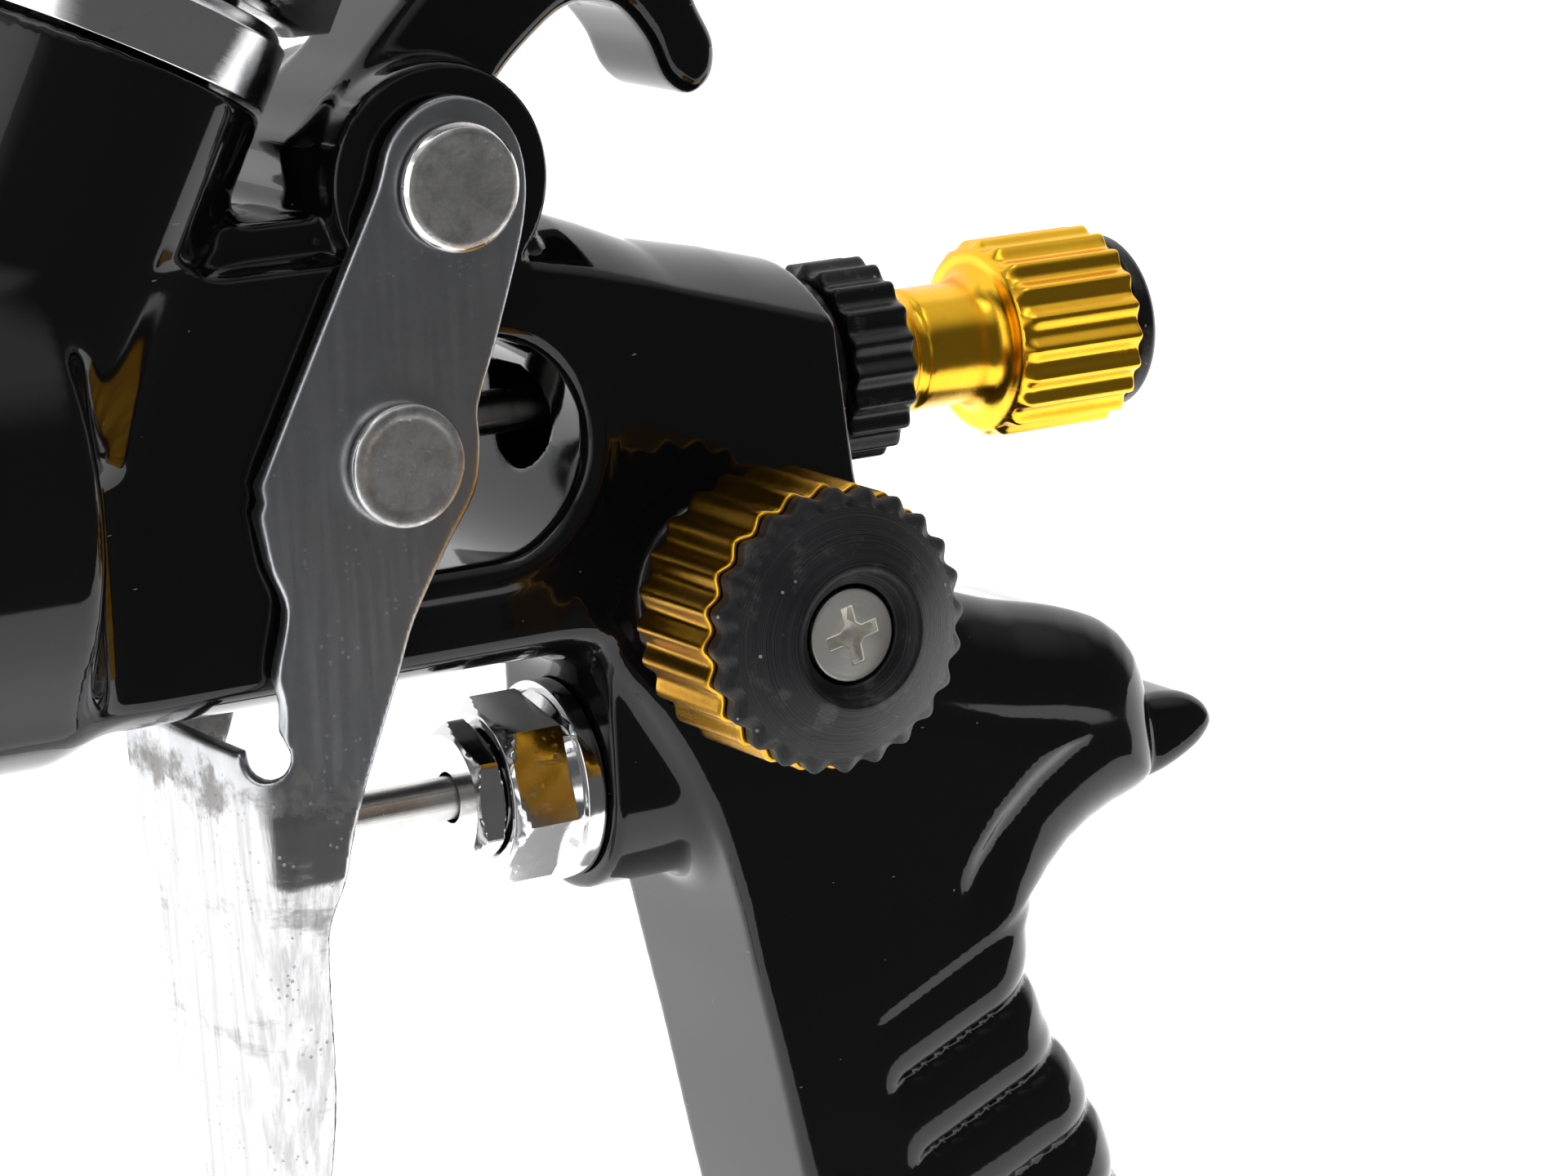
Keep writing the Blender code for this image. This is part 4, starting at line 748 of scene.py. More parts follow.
def body_field(ribs, rim):
    """The casting: barrel, handle, spur, valve boss, head, hook, cup boss and pivot boss, less its bores."""
    wall_x = (-3.4, 2.45)
    airway = AIRWAY_END - AIRWAY_START
    airway_length = np.linalg.norm(airway)
    cut_bars = (
        (ZERO, X_AXIS, 18.0, 40.0, 6.4), (ZERO, X_AXIS, 10.0, 19.0, 4.6), (ZERO, X_AXIS, -21.0, -8.0, 4.0),
        (ZERO, X_AXIS, -30.0, -20.0, 2.1), (ZERO, X_AXIS, -42.0, -28.0, 3.5),
        (ZERO, X_AXIS, -60.0, -41.5, 4.9), (PIVOT, Y_AXIS, -20.0, 20.0, 2.7),
        (CUP_BASE, CUP_AXIS, -35.0, 4.0, 3.7), (CUP_BASE, CUP_AXIS, -7.6, 4.0, 9.6),
        (VALVE, X_AXIS, 8.0, 39.0, 6.4), (np.array((16.0, 0, 0)), Z_AXIS, -30.0, -14.0, 2.2),
        (np.array((0, 0, -14.0)), X_AXIS, -47.0, 22.0, 2.8), (FAN, NEAR, -1.0, 22.0, 4.6),
        (FAN, NEAR, -6.0, 2.0, 2.3), (INLET, Z_AXIS, -4.0, 15.0, 6.8),
        (AIRWAY_START, airway / airway_length, 0.0, airway_length, 3.8),
    )

    def field(p):
        x, y, z = p.T
        side = np.abs(y)
        share = np.minimum(side / BODY_HALF, 1.2) ** 2.2
        crest, crease = table(CREST, x), table(CREASE, x)
        roof = (z - crest + (crest - crease) * share) * 0.93
        belly = (-19.3 + 3.2 * share - z) * 0.93
        rear = (x + 0.10 * z - 34.3) * 0.99
        box = rounded(np.maximum(rear, -40.0 - x), side - BODY_HALF, 0.9)
        barrel = meet(meet(box, roof, 0.7), belly, 1.1)
        barrel = blend(barrel, bar(p, ZERO, X_AXIS, 20.0, 34.5, 7.9, 0.5), 1.2)
        step = np.where(z > VALVE[2], side - 9.1, np.hypot(y, z - VALVE[2]) - 9.1)
        valve = rounded(step, np.maximum(12.8 - x, np.maximum(x - 31.0, z + 12.0)), 0.7)
        head = bar(p, ZERO, X_AXIS, -46.0, -32.0, 19.7, 2.2)
        collar = bar(p, ZERO, X_AXIS, -52.0, -40.0, 17.5, 0.4)
        cup = bar(p, CUP_BASE, CUP_AXIS, -28.0, 0.0, 13.4, 0.7)
        boss = bar(p, PIVOT, Y_AXIS, -BODY_HALF, BODY_HALF, 9.0, 0.7)
        hook = rounded(outline_distance(x, z, HOOK_OUTLINE), side - 6.5, 2.0)
        spur = rounded(outline_distance(x, z, SPUR_OUTLINE), side - 5.4, 2.2)
        block = np.maximum(np.maximum(-27.0 - x, x - 9.0), np.maximum(z - 18.2, 8.0 - z))
        barrel = blend(barrel, rounded(block, side - 8.5, 0.8), 0.9)
        shape = blend(barrel, handle_field(p, ribs), 3.5)
        shape = blend(shape, spur, 0.8)
        shape = blend(shape, valve, 2.2)
        shape = blend(shape, head, 6.0)
        shape = blend(shape, hook, 2.6)
        shape = blend(shape, cup, 2.4)
        shape = blend(shape, boss, 1.2)
        shape = blend(shape, collar, 0.5)
        shape = blend(shape, bar(p, FAN, NEAR, 2.0, BODY_HALF + 3.0, 7.0, 0.6), 0.7)
        window = np.hypot(x - np.clip(x, *wall_x), z + 0.75) - 8.55
        shape = shape - rim * np.exp(-(((window - 1.5) / 1.0) ** 2)) * smooth_step(side, 8.0, 10.0)
        shape = carve(shape, window, 1.0)
        pocket = carve(bar(p, ZERO, X_AXIS, -60.0, -46.0, 14.5), bar(p, ZERO, X_AXIS, -50.0, -40.0, 7.5))
        shape = carve(shape, pocket)
        for place in cut_bars:
            shape = carve(shape, bar(p, *place), 0.3)
        return shape

    return field


def make_casting(settings):
    fine = settings.grid / MM * 1.0
    wide = fine * 1.6
    axes = (
        spaced((-53.5, -15.0, wide), (-15.0, 38.0, fine), (38.0, 78.0, wide)),
        spaced((-21.0, -14.5, wide), (-14.5, 14.5, fine), (14.5, 21.0, wide)),
        spaced((-113.5, -66.0, wide), (-66.0, 33.0, fine), (33.0, 43.0, wide)),
    )
    field = body_field(settings.ribs / MM, settings.rim / MM)
    put(skin("body_casting", field, axes), "gun_body", "gun", "paint")


# ---- Trigger --------------------------------------------------------------------------------------

TRIGGER_OUTLINE = flowing(TRIGGER_SIDE, 4)


def trigger_field(bend):
    """The stamping: a bent sheet cut to the side outline, with bend reliefs and pin holes."""

    def field(p):
        x, y, z = p.T
        side = np.abs(y)
        front, half = table(WEB_FRONT, z), table(TRIGGER_WIDTH, z)
        crown = 0.5 * (1 - (side / half) ** 2)
        outer = rounded(front - crown - x, side - half, bend)
        inner = rounded(front - crown + PLATE - x, side - half + PLATE, bend - PLATE + 0.4)
        shell = meet(outer, -inner, 0.3)
        shape = meet(shell, outline_distance(x, z, TRIGGER_OUTLINE), 0.45)
        for across in (-1, 1):
            notch = np.array((-17.4, across * (TRIGGER_HALF - 1.6), -20.9))
            slant = np.array((1.0, -across, 0.0)) / math.sqrt(2)
            shape = carve(shape, bar(p, notch, slant, -6.0, 4.2, 1.75), 0.4)
        shape = carve(shape, bar(p, PIVOT, Y_AXIS, -20.0, 20.0, 2.7), 0.2)
        return carve(shape, bar(p, YOKE, Y_AXIS, -20.0, 20.0, 2.5), 0.2)

    return field


def make_trigger(settings):
    fine = settings.grid / MM * 1.0
    axes = (
        spaced((-29.0, 8.0, fine)),
        spaced((-13.4, -10.3, fine), (-10.3, 10.3, fine * 1.7), (10.3, 13.4, fine)),
        spaced((-82.5, -24.0, fine * 1.5), (-24.0, 28.0, fine)),
    )
    trigger = skin("trigger_stamping", trigger_field(settings.bend / MM), axes)
    put(trigger, "trigger", "trigger", "trigger")
    pins = (
        ("pivot_pin", "gun", PIVOT, 4.85, 2.4, NEAR), ("pivot_retainer", "gun", PIVOT, 4.85, 0.0, Y_AXIS),
        ("yoke_retainer", "trigger", YOKE, 4.66, 0.0, Y_AXIS),
    )
    for node, body, centre, head, shank, direction in pins:
        profile = head_profile(head, shank)
        piece = lathe(node + "_turned", profile, centre, direction, 96)
        put(piece, node, body, "pins")
    fine = 0.22 * 1.0
    axes = (spaced((-11.2, 0.0, fine)), spaced((-14.4, 14.4, fine * 1.3)), spaced((-5.6, 5.2, fine)))
    put(skin("needle_yoke_turned", yoke_field, axes), "needle_yoke", "trigger", "pins")


def head_profile(head, shank):
    """A pin's head on the outside of the trigger, with its shank when it has one."""
    rim = (
        (HEAD_OUT - 0.10, 0.0), (HEAD_OUT - 0.08, head * 0.55), (HEAD_OUT, head - 0.75),
        (HEAD_OUT - 0.16, head - 0.35), (HEAD_OUT - 0.55, head), (TRIGGER_HALF + 0.3, head),
    )
    if shank:
        stem = ((TRIGGER_HALF + 0.3, shank), (-TRIGGER_HALF, shank), (-TRIGGER_HALF, 0.0))
    else:
        stem = ((TRIGGER_HALF + 0.3, 0.0),)
    return eased((*rim, *stem), 0.14)


def yoke_field(p):
    """The cross pin that draws the needle back, slotted for it, with its head on the near side."""
    x, y, z = p.T
    middle = bar(p, YOKE, Y_AXIS, -10.8, 10.8, 4.6, 0.3)
    ends = bar(p, YOKE, Y_AXIS, -TRIGGER_HALF - 0.4, TRIGGER_HALF, 2.2, 0.2)
    head = bar(p, YOKE, NEAR, TRIGGER_HALF + 0.3, HEAD_OUT, 4.66, 0.42)
    dish = bar(p, YOKE, NEAR, HEAD_OUT - 0.09, HEAD_OUT + 1.0, 3.7, 0.05)
    shape = np.minimum(np.minimum(middle, ends), carve(head, dish, 0.1))
    slot = np.maximum(np.abs(y) - NEEDLE_R - 0.3, np.maximum(-2.4 - z, z - 3.6))
    return carve(shape, slot, 0.2)


# ---- Needle, knobs and valve ----------------------------------------------------------------------


def ring(outer, inner, start, end, edge=0.15):
    return eased(((start, outer), (end, outer), (end, inner), (start, inner)), edge, True)


def make_needle():
    tail = NEEDLE_R - 0.5
    needle = (
        (-64.0, 0.0), (-64.0, NEEDLE_R * 0.2), (-57.0, NEEDLE_R), (37.0, NEEDLE_R), (37.0, 2.9),
        (38.4, 2.9), (38.4, tail), (49.4, tail), (50.0, tail * 0.6), (50.0, 0.0),
    )
    put(
        lathe("needle_turned", eased(needle, 0.1), ZERO, X_AXIS, 64),
        "needle", "needle", "steel",
    )
    front = YOKE[0] + 4.9
    collar = ring(3.6, NEEDLE_R + 0.3, front, front + 5.0, 0.4)
    put(
        lathe("needle_collar_turned", collar, ZERO, X_AXIS, 64, closed=True),
        "needle_collar", "needle", "chrome",
    )
    bushing = ((18.3, 6.0), (34.8, 6.0), (34.8, 7.0), (36.6, 7.0), (36.6, 5.3), (18.3, 5.3))
    put(
        lathe("rear_bushing_turned", eased(bushing, 0.2, True), ZERO, X_AXIS, 96, closed=True),
        "rear_bushing", "gun", "dark",
    )


def make_rear_knob(settings):
    radius, count = 8.18, settings.rear_flutes
    steps = count * 12
    lock = dense(ring(radius, 5.3, 36.9, 42.59, 0.45), 0.3, True)
    cut = flutes(count, settings.flute_depth / MM, 36.6, 42.9, 0.5, 6.5, 0.8)
    put(
        lathe("lock_ring_fluted", lock, ZERO, X_AXIS, steps, cut, True),
        "lock_ring", "lock_ring", "dark",
    )
    knob = (
        (26.0, 3.3), (26.0, 5.0), (44.6, 5.0), (44.9, 4.72), (45.7, 4.72), (46.0, 5.0), (51.6, 5.0),
        (52.4, 5.35), (52.92, 6.1), (52.92, 7.3), (54.0, radius), (64.37, radius), (64.37, 3.4),
        (60.0, 3.4), (60.0, 2.9), (58.0, 2.9), (58.0, 3.3),
    )
    knob = dense(eased(knob, 0.35, True), 0.35, True)
    cut = flutes(count, settings.flute_depth / MM, 53.3, 66.5, 1.5, 6.8, 0.8)
    put(
        lathe("fluid_knob_fluted", knob, ZERO, X_AXIS, steps, cut, True),
        "fluid_knob", "fluid_knob", "gold",
    )
    cap = ((60.3, 0.0), (60.3, 3.0), (64.67, 3.0), (64.67, 7.21), (66.0, 7.21), (66.72, 6.5), (66.72, 0.0))
    put(
        lathe("fluid_knob_cap_turned", eased(cap, 0.35), ZERO, X_AXIS, 120),
        "fluid_knob_cap", "fluid_knob", "dark",
    )


def make_fan_knob(settings):
    radius, count, depth = 11.0, settings.fan_flutes, settings.fan_flute_depth / MM
    steps = count * 12
    rim = 28.86
    gold = dense(ring(radius, 2.3, 16.98, 27.0, 0.3), 0.5, True)
    put(
        lathe("fan_knob_fluted", gold, FAN, NEAR, steps, flutes(count, depth, 14.0, 40.0, 0.6, 8.0), True),
        "fan_knob", "fan_knob", "amber",
    )
    face = rim + 2.73
    cone = [(rim + 2.73 * (0.75 * t + 0.25 * math.sin(t * math.pi / 2)), radius - 0.4 - (radius - 5.75) * t)
            for t in np.arange(1, 9) / 9]
    cap = (
        (27.3, 1.8), (27.3, radius - 0.25), (rim - 0.25, radius - 0.05), (rim, radius - 0.35), *cone,
        (face, 5.35), (face - 0.15, 4.99), (face - 1.1, 4.7), (face - 1.35, 3.9), (face - 1.55, 3.84),
        (face - 2.2, 3.84), (face - 3.6, 1.8),
    )
    cap = dense(eased(cap, 0.12, True), 0.5, True)
    cut = flutes(count, depth, 14.0, rim + 0.9, 0.6, 9.6)
    put(
        lathe("fan_knob_cap_turned", cap, FAN, NEAR, steps, cut, True, 50.0),
        "fan_knob_cap", "fan_knob", "dark_face",
    )
    fine = 0.07 * 1.0
    x, z = FAN[0], FAN[2]
    axes = (spaced((x - 3.8, x + 3.8, fine)), spaced((-30.7, -27.4, fine), (-27.4, -19.8, fine * 3)),
            spaced((z - 3.8, z + 3.8, fine)))
    put(skin("fan_screw_cross", screw_field, axes, 35.0), "fan_knob_screw", "fan_knob", "nickel")
    gland = ((6.2, 4.3), (13.8, 4.3), (13.8, 6.4), (16.38, 6.4), (16.38, 2.3), (6.2, 2.3))
    put(
        lathe("fan_gland_turned", eased(gland, 0.3, True), FAN, NEAR, 96, closed=True),
        "fan_gland", "gun", "dark",
    )


def screw_field(p):
    """A cross-recess countersunk screw, its head up the fan knob's axis."""
    offset = p - FAN
    along = -offset[:, 1]
    top = 30.36
    away = np.hypot(offset[:, 0], offset[:, 2])
    dome = top - 0.10 * (away / 3.54) ** 2
    head = rounded(away - 3.54 + np.maximum(top - 0.55 - along, 0) * 1.1, along - dome, 0.14)
    head = np.maximum(head, top - 2.4 - along)
    shank = bar(p, FAN, NEAR, 20.4, 28.8, 1.5, 0.2)
    turn = math.radians(12)
    u = np.abs(offset[:, 0] * math.cos(turn) + offset[:, 2] * math.sin(turn))
    v = np.abs(offset[:, 2] * math.cos(turn) - offset[:, 0] * math.sin(turn))
    long, short = np.maximum(u, v), np.minimum(u, v)
    floor = top - 1.5 + 0.42 * away
    arm = np.maximum(short - 0.36 - 0.10 * (along - top + 1.0), long - 2.15)
    web = (u + v - 1.35) * 0.7
    cross = np.maximum(np.minimum(arm, web), floor - along)
    return carve(blend(head, shank, 0.3), cross, 0.12)


def make_valve():
    stem = (
        (-17.9, 0.0), (-17.9, 0.7), (-17.5, 1.35), (-16.6, 1.72), (19.3, 1.72), (19.3, 5.2), (20.9, 5.2),
        (20.9, 1.42), (26.9, 1.42), (26.9, 0.0),
    )
    put(
        lathe("valve_stem_turned", eased(stem, 0.12), VALVE, X_AXIS, 64),
        "valve_stem", "valve_stem", "steel",
    )
    chamfer = 0.9
    corner = 13.0 / math.sqrt(3)
    housing = (
        (5.3, 4.0), (5.3, 6.25), (5.3 + chamfer, corner), (10.2, corner), (10.9, 7.2), (10.9, 7.97),
        (12.5, 7.97), (12.5, 6.0), (19.0, 6.0), (19.0, 3.4), (13.0, 3.4), (13.0, 2.02), (11.3, 2.02),
        (11.3, 4.0),
    )

    def hexed(along, radius, turns):
        if 5.0 < along < 10.6:
            return flats(13.0, math.radians(12), 4.4)(along, radius, turns)
        return np.full(turns.shape, radius)

    housing = dense(eased(housing, 0.12, True), 0.6, True)
    put(
        lathe("valve_housing_turned", housing, VALVE, X_AXIS, 120, hexed, True, 25.0),
        "valve_housing_nut", "gun", "valve",
    )
    corner = 10.5 / math.sqrt(3)
    nut = (
        (2.7, 2.02), (2.7, 4.9), (3.2, corner), (4.6, corner), (5.0, 5.3), (5.0, 3.7), (9.0, 3.7),
        (9.0, 2.02),
    )

    def nut_hexed(along, radius, turns):
        if along < 5.01 and radius > 4.4:
            return flats(10.5, math.radians(25), 4.4)(along, radius, turns)
        return np.full(turns.shape, radius)

    nut = dense(eased(nut, 0.12, True), 0.5, True)
    put(
        lathe("valve_packing_turned", nut, VALVE, X_AXIS, 120, nut_hexed, True, 25.0),
        "valve_packing_nut", "gun", "valve",
    )


# ---- Front, cup and inlet -------------------------------------------------------------------------


def make_front():
    nozzle = (
        (-64.3, 0.8), (-64.3, 2.2), (-60.4, 2.7), (-58.0, 6.0), (-56.5, 6.9), (-51.2, 6.9), (-50.3, 6.0),
        (-50.3, 4.5), (-42.0, 4.5), (-42.0, 2.55), (-58.0, 2.55),
    )
    nozzle = dense(eased(nozzle, 0.15, True), 0.7, True)
    put(
        lathe("fluid_nozzle_turned", nozzle, ZERO, X_AXIS, 120, flats(12.0, 0.0, 6.05), True, 25.0),
        "fluid_nozzle", "gun", "steel",
    )
    face = -64.1
    cap = (
        (face, 3.1), (face, 6.0), (-61.6, 9.6), (-58.6, 14.6), (-54.3, 14.6), (-54.3, 16.8), (-52.3, 16.8),
        (-52.3, 12.5), (-57.0, 12.5), (face + 2.0, 3.1),
    )
    cap_piece = lathe("air_cap_turned", eased(cap, 0.3, True), ZERO, X_AXIS, 120, closed=True)

    def horn_field(p):
        x, y, z = p.T
        side = np.abs(y)
        across = np.maximum(7.6 + 0.36 * (-58.6 - x) - side, side - 14.1 + 0.20 * (-58.2 - x))
        slope = rounded(across, np.maximum(-71.2 - x, x + 57.6), 0.7)
        horn = rounded(slope, np.abs(z) - 3.9 + 0.10 * (-58.2 - x), 0.8)
        for at, high in ((-68.7, 0.9), (-65.4, 0.7)):
            port = np.hypot(x - at, z) - high
            horn = carve(horn, port, 0.2)
        return np.maximum(horn, 6.2 - side)

    fine = 0.28 * 1.0
    axes = (spaced((-71.9, -57.0, fine)), spaced((-15.0, 15.0, fine)), spaced((-4.8, 4.8, fine)))
    horns = skin("air_cap_horns", horn_field, axes)
    for piece in (cap_piece, horns):
        put(piece, "air_cap", "air_cap", "cap_gold")
    outer = (
        (-57.8, 14.9), (-57.8, 19.6), (-56.9, 21.0), (-47.6, 21.0), (-46.5, 20.0), (-46.5, 17.8),
        (-54.6, 17.8), (-54.6, 14.9),
    )
    outer = dense(eased(outer, 0.35, True), 0.5, True)
    cut = flutes(24, 0.55, -57.0, -47.4, 1.2, 19.8)
    put(
        lathe("air_cap_ring_fluted", outer, ZERO, X_AXIS, 24 * 10, cut, True),
        "air_cap_ring", "air_cap_ring", "cap_gold",
    )


def make_cup():
    put_on = {"centre": CUP_BASE, "direction": CUP_AXIS}
    collar = (
        (-7.2, 9.0), (0.3, 9.0), (0.3, 13.4), (5.0, 13.4), (6.2, 12.2), (6.2, 9.0), (15.5, 9.0),
        (15.5, 3.6), (-7.2, 3.6),
    )
    put(
        lathe("cup_collar_turned", eased(collar, 0.15, True), steps=144, closed=True, **put_on),
        "cup_port_collar", "gun", "collar",
    )
    corner = 28.0 / math.sqrt(3)
    hexed = (
        (6.5, 9.4), (6.5, 13.6), (7.9, corner), (15.1, corner), (16.5, 13.6), (16.5, 9.5), (25.0, 9.5),
        (25.0, 6.0), (15.8, 6.0), (15.8, 9.4),
    )
    hexed = dense(eased(hexed, 0.15, True), 0.8, True)
    cut = flats(28.0, math.radians(15), 12.0)
    put(
        lathe("cup_connector_turned", hexed, steps=144, reach=cut, closed=True, sharp=25.0, **put_on),
        "cup_connector", "gun", "collar",
    )
    cup = (
        (16.8, 13.0), (25.0, 13.0), (27.5, 14.2), (43.0, 37.4), (45.3, 39.9), (48.5, CUP_R), (106.0, CUP_R),
        (120.0, CUP_R), (120.0, CUP_R - 1.4), (48.6, CUP_R - 1.4), (45.2, 38.0), (28.0, 12.6), (26.6, 9.8),
        (16.8, 9.8),
    )
    cup = dense(eased(cup, 0.7, True), 3.0, True)
    put(
        lathe("paint_cup_spun", cup, steps=180, closed=True, **put_on),
        "paint_cup", "gun", "spun",
    )
    lid = (
        (108.5, CUP_R + 0.3), (108.5, 43.6), (122.2, 43.6), (123.6, 42.2), (123.6, 30.0), (122.9, 29.2),
        (122.9, 20.6), (122.9, 17.35), (121.4, 17.35), (121.4, CUP_R + 0.3),
    )
    rim = dense(eased(lid, 0.4, True), 1.0, True)
    grips = flutes(24, 0.8, 107.0, 123.4, 1.8, 42.4, 1.0)
    pieces = [lathe("cup_lid_grip", rim, steps=240, reach=grips, closed=True, **put_on)]
    fine = 0.5 * 1.0
    across, up = Y_AXIS, np.cross(Y_AXIS, CUP_AXIS)

    def disc(p):
        turned = CUP_BASE + p[:, :1] * across + p[:, 1:2] * up + p[:, 2:] * CUP_AXIS
        plate = bar(turned, CUP_BASE, CUP_AXIS, 121.4, 123.2, 17.8, 0.4)
        raised = bar(turned, CUP_BASE, CUP_AXIS, 122.0, 123.6, 6.0, 0.4)
        vent = bar(turned, CUP_BASE + 15.0 * Y_AXIS, CUP_AXIS, 100.0, 140.0, 2.1)
        return carve(blend(plate, raised, 1.0), vent, 0.2)

    plate = skin(
        "cup_lid_middle", disc,
        (spaced((-18.4, 18.4, fine)), spaced((-18.4, 18.4, fine)), spaced((120.6, 124.2, fine))),
    )
    place = Matrix(np.stack((across, up, CUP_AXIS), axis=1).tolist()).to_4x4()
    shift = Vector((OFFSET * MM).tolist())
    turn = Matrix.Translation(shift + Vector((CUP_BASE * MM).tolist())) @ place @ Matrix.Translation(-shift)
    plate.data.transform(turn)
    pieces.append(plate)
    for piece in pieces:
        put(piece, "cup_lid", "lid", "plastic")


def make_inlet():
    across = 17.0
    corner = across / math.sqrt(3)
    fitting = (
        (-13.0, 3.5), (-13.0, 6.4), (1.6, 6.4), (1.6, 8.3), (2.3, corner), (5.9, corner), (6.6, 8.3),
        (6.6, 5.9), (7.6, 5.9), (7.9, 6.4), (17.3, 6.4), (18.0, 5.7), (18.0, 3.9), (17.6, 3.5),
    )
    fitting = dense(eased(fitting, 0.1, True), 0.18, True)
    hexed, cut = flats(across, 0.0, 7.9), thread(0.75, 1.34, 7.9, 17.6, 5.6)

    def reach(along, radius, turns):
        return hexed(along, radius, turns) if along < 6.65 else cut(along, radius, turns)

    put(
        lathe("air_inlet_threaded", fitting, INLET, -Z_AXIS, 96, reach, True, 30.0),
        "air_inlet_fitting", "gun", "chrome",
    )


CARRIED = {
    "steel": ("needle_spring", "valve_spring", "cap_retaining_clip"),
    "brass": ("needle_packing_nut", "needle_spring_seat", "fan_spindle"),
    "plastic": ("air_baffle_ring",),
    "seal": (
        "needle_packing", "valve_packing", "lid_gasket", "paint_strainer", "vent_plug", "inlet_washer",
        "fan_spindle_seal",
    ),
}


def finish_carried():
    """Gives the CAD pieces that are shown as they are their finishes."""
    for finish, nodes in CARRIED.items():
        for node in nodes:
            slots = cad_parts[node].data.materials
            slots.clear()
            slots.append(FINISHES[finish])


# ---- Stage ----------------------------------------------------------------------------------------


def make_floor(level):
    mesh = bpy.data.meshes.new("table_top")
    near, far, wide = -0.15, 4.0, 3.0
    mesh.from_pydata(
        [(-wide, near, level), (wide, near, level), (wide, far, level), (-wide, far, level)], [],
        [(0, 1, 2, 3)],
    )
    floor = bpy.data.objects.new("table_top", mesh)
    bpy.context.scene.collection.objects.link(floor)

    def inputs(place):
        return {"Roughness": place.noise(30, 3) * 0.1 + 0.6}

    white = {"Base Color": (0.86, 0.86, 0.86, 1.0), "Emission Color": (1, 1, 1, 1), "Emission Strength": 1.0}
    mesh.materials.append(material("pale_table", inputs, white))


def area_light(name, place, target, size, power):
    light = bpy.data.lights.new(name, "AREA")
    light.shape = "RECTANGLE"
    light.size, light.size_y = size
    light.energy = power
    obj = bpy.data.objects.new(name, light)
    obj.location = place
    obj.rotation_euler = (Vector(target) - Vector(place)).to_track_quat("-Z", "Y").to_euler()
    bpy.context.scene.collection.objects.link(obj)


def make_stage(settings):
    make_floor(-0.001)
    world = bpy.data.worlds.new("studio")
    bpy.context.scene.world = world
    bpy.context.scene.view_settings.view_transform = "Standard"
    world.use_nodes = True
    tree = world.node_tree
    way = Wire(tree).add("ShaderNodeTexCoord", output=0)
    behind = way.axis(1).step(-0.10, 0.30)
    above = way.axis(2).step(0.45, 0.80) * 0.55
    front = (way.axis(0) * -1).step(0.55, 0.85) * 0.9
    glow = behind.most(above.most(front))
    strength = glow * settings.surround + 0.10
    tree.links.new(strength.socket, tree.nodes["Background"].inputs["Strength"])
    tree.nodes["Background"].inputs["Color"].default_value = (1, 1, 1, 1)
    middle = (-0.03, 0.0, 0.12)
    area_light("overhead_box", (-0.10, -0.15, 0.75), middle, (0.55, 0.35), settings.overhead)
    area_light("side_box", (-0.75, -0.25, 0.30), middle, (0.5, 0.6), settings.side)

    camera = bpy.data.cameras.new("view")
    camera.lens = 116.04
    camera.sensor_width = 36.0
    camera.clip_start = 0.01
    seen = bpy.data.objects.new("view", camera)
    right = Vector((0.85388777, -0.51877325, -0.04183285))
    up = Vector((0.14995912, 0.16826589, 0.97426837))
    back = -Vector((0.49838533, 0.83818906, -0.22147496))
    turn = Matrix((right, up, back)).transposed().to_4x4()
    seen.matrix_world = Matrix.Translation((-0.22518, -0.34176, 0.20237)) @ turn
    bpy.context.scene.collection.objects.link(seen)
    bpy.context.scene.camera = seen


# ---- Settings, operators and panel ------------------------------------------------------------------


def length(name, about, default):
    return bpy.props.FloatProperty(
        name=name, description=about, default=default, unit="LENGTH", subtype="DISTANCE",
    )


class GunSettings(bpy.types.PropertyGroup):
    rim: length("Window rim", "How far the rim round the window stands up", 0.00035)
    ribs: length("Grip valleys", "Depth of the valleys between the finger ribs", 0.0010)
    grid: length("Body grid", "Spacing of the points over the body", 0.00046)


class TriggerSettings(bpy.types.PropertyGroup):
    bend: length("Bend", "Outside radius of the bends down the trigger", 0.0034)
    grid: length("Trigger grid", "Spacing of the points over the trigger", 0.00030)


class KnobSettings(bpy.types.PropertyGroup):
    rear_flutes: bpy.props.IntProperty(
        name="Rear flutes", description="Flutes round the fluid knob", default=20,
    )
    fan_flutes: bpy.props.IntProperty(name="Fan flutes", description="Flutes round the fan knob", default=24)
    flute_depth: length("Flute depth", "Depth of the fluid knob's flutes", 0.00062)
    fan_flute_depth: length("Fan flute depth", "Depth of the fan knob's flutes", 0.00070)


class StageSettings(bpy.types.PropertyGroup):
    surround: bpy.props.FloatProperty(
        name="Surround", description="Brightness of the white surround", default=1.05,
    )
    overhead: bpy.props.FloatProperty(
        name="Overhead", description="Power of the overhead box", default=1.2, subtype="POWER",
    )
    side: bpy.props.FloatProperty(
        name="Side", description="Power of the side box", default=0.8, subtype="POWER",
    )


SETTINGS = {"gun": GunSettings, "trigger": TriggerSettings, "knob": KnobSettings, "stage": StageSettings}


class SPRAYGUN_OT_casting(bpy.types.Operator):
    """Builds the painted body with its hook and handle"""

    bl_idname = "spray_gun.casting"
    bl_label = "Cast body"

    def execute(self, context):
        make_casting(context.scene.spray_gun_gun)
        return {"FINISHED"}


class SPRAYGUN_OT_front(bpy.types.Operator):
    """Builds the nozzle, the air cap and its ring"""

    bl_idname = "spray_gun.front"
    bl_label = "Front end"

    def execute(self, context):
        make_front()
        return {"FINISHED"}


class SPRAYGUN_OT_needle(bpy.types.Operator):
    """Builds the needle, its collar and the rear bushing"""

    bl_idname = "spray_gun.needle"
    bl_label = "Needle"

    def execute(self, context):
        make_needle()
        return {"FINISHED"}


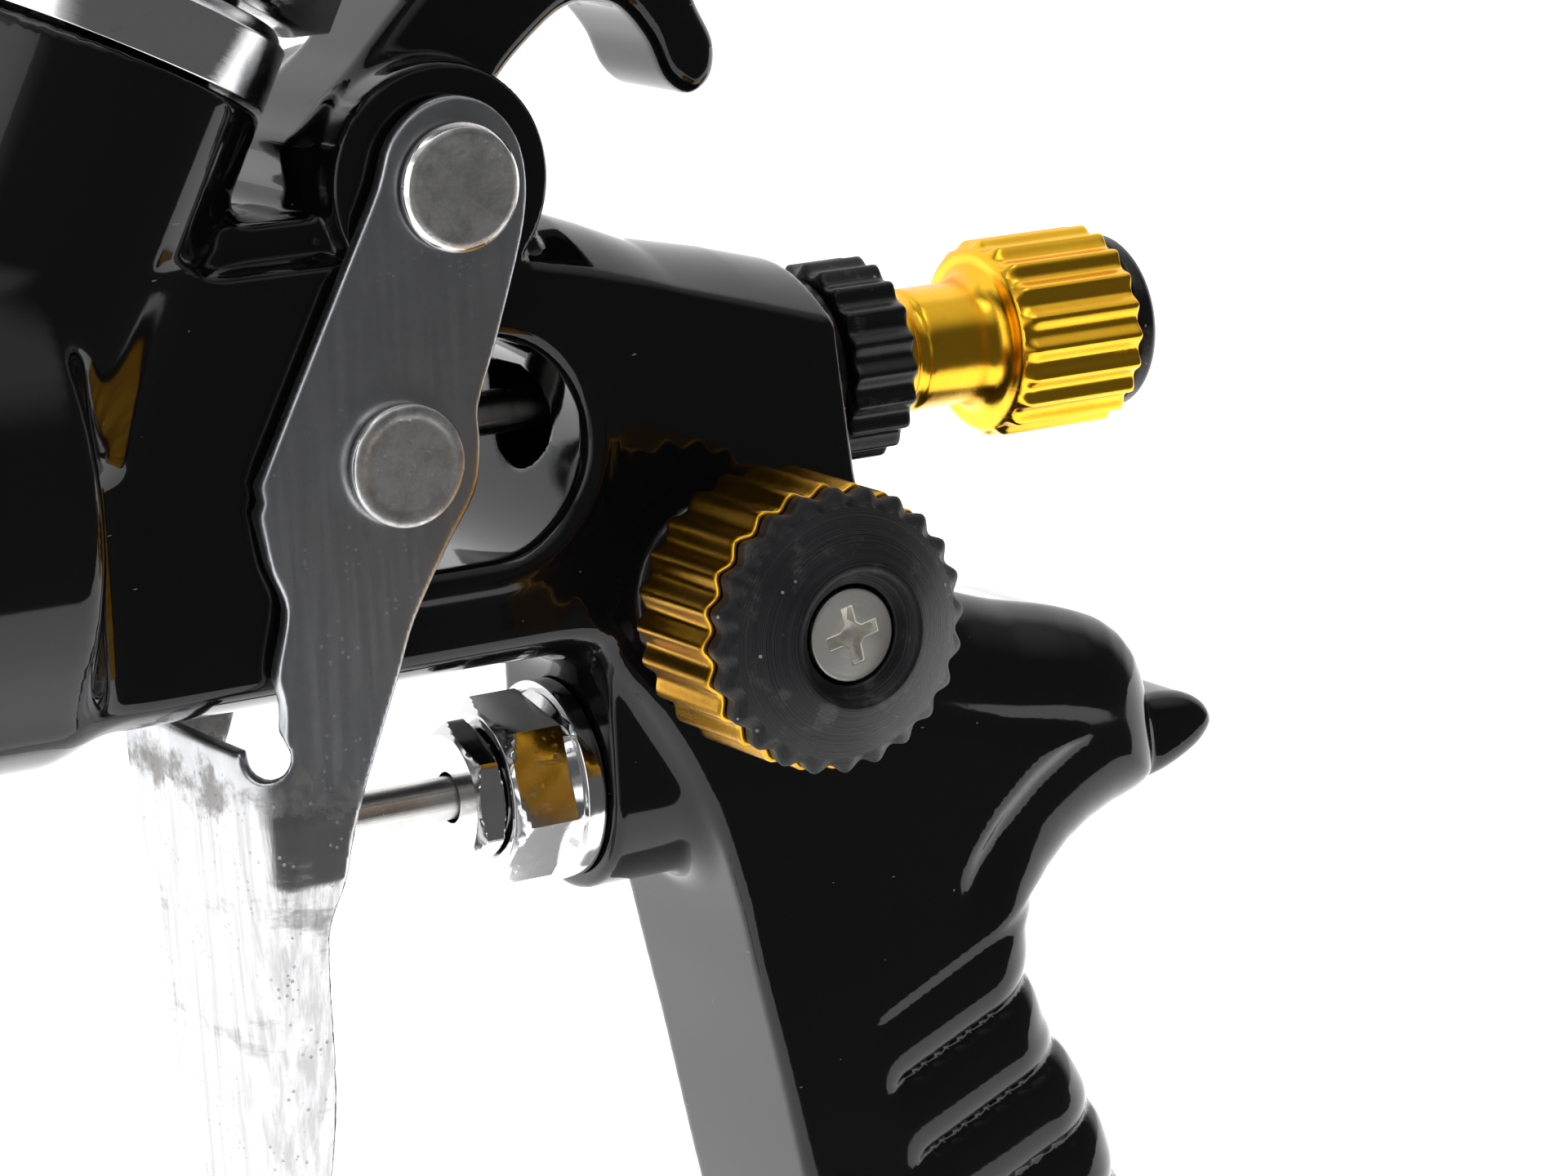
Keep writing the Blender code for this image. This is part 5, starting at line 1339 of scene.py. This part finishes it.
class SPRAYGUN_OT_rear_knob(bpy.types.Operator):
    """Builds the lock ring and the gold knob behind the needle"""

    bl_idname = "spray_gun.rear_knob"
    bl_label = "Fluid knob"

    def execute(self, context):
        make_rear_knob(context.scene.spray_gun_knob)
        return {"FINISHED"}


class SPRAYGUN_OT_fan_knob(bpy.types.Operator):
    """Builds the side knob, its face and its screw"""

    bl_idname = "spray_gun.fan_knob"
    bl_label = "Fan knob"

    def execute(self, context):
        make_fan_knob(context.scene.spray_gun_knob)
        return {"FINISHED"}


class SPRAYGUN_OT_valve(bpy.types.Operator):
    """Builds the valve's nuts and stem"""

    bl_idname = "spray_gun.valve"
    bl_label = "Air valve"

    def execute(self, context):
        make_valve()
        return {"FINISHED"}


class SPRAYGUN_OT_trigger(bpy.types.Operator):
    """Builds the stamped trigger and its pins"""

    bl_idname = "spray_gun.trigger"
    bl_label = "Trigger"

    def execute(self, context):
        make_trigger(context.scene.spray_gun_trigger)
        return {"FINISHED"}


class SPRAYGUN_OT_cup(bpy.types.Operator):
    """Builds the cup, its connector and its lid"""

    bl_idname = "spray_gun.cup"
    bl_label = "Cup"

    def execute(self, context):
        make_cup()
        return {"FINISHED"}


class SPRAYGUN_OT_inlet(bpy.types.Operator):
    """Builds the threaded air inlet"""

    bl_idname = "spray_gun.inlet"
    bl_label = "Air inlet"

    def execute(self, context):
        make_inlet()
        return {"FINISHED"}


class SPRAYGUN_OT_carried(bpy.types.Operator):
    """Gives the pieces kept from the CAD their finishes"""

    bl_idname = "spray_gun.carried"
    bl_label = "CAD pieces"

    def execute(self, context):
        finish_carried()
        return {"FINISHED"}


class SPRAYGUN_OT_stage(bpy.types.Operator):
    """Builds the table, the lights and the camera"""

    bl_idname = "spray_gun.stage"
    bl_label = "Stage"

    def execute(self, context):
        make_stage(context.scene.spray_gun_stage)
        return {"FINISHED"}


OPERATORS = (
    SPRAYGUN_OT_casting,
    SPRAYGUN_OT_front,
    SPRAYGUN_OT_needle,
    SPRAYGUN_OT_rear_knob,
    SPRAYGUN_OT_fan_knob,
    SPRAYGUN_OT_valve,
    SPRAYGUN_OT_trigger,
    SPRAYGUN_OT_cup,
    SPRAYGUN_OT_inlet,
    SPRAYGUN_OT_carried,
    SPRAYGUN_OT_stage,
)


class SPRAYGUN_PT_build(bpy.types.Panel):
    bl_label = "Spray gun"
    bl_space_type = "VIEW_3D"
    bl_region_type = "UI"
    bl_category = "Spray gun"

    def draw(self, context):
        for made in OPERATORS:
            self.layout.operator(made.bl_idname)


CLASSES = (*SETTINGS.values(), *OPERATORS, SPRAYGUN_PT_build)


def register():
    for made in CLASSES:
        bpy.utils.register_class(made)
    for key, made in SETTINGS.items():
        setattr(bpy.types.Scene, "spray_gun_" + key, bpy.props.PointerProperty(type=made))


def unregister():
    for key in SETTINGS:
        delattr(bpy.types.Scene, "spray_gun_" + key)
    for made in reversed(CLASSES):
        bpy.utils.unregister_class(made)


def main():
    """Builds every piece and the stage."""
    register()
    FINISHES.update(make_finishes())
    for made in OPERATORS:
        getattr(bpy.ops.spray_gun, made.bl_idname.split(".")[1])()


if __name__ == "__main__":
    main()
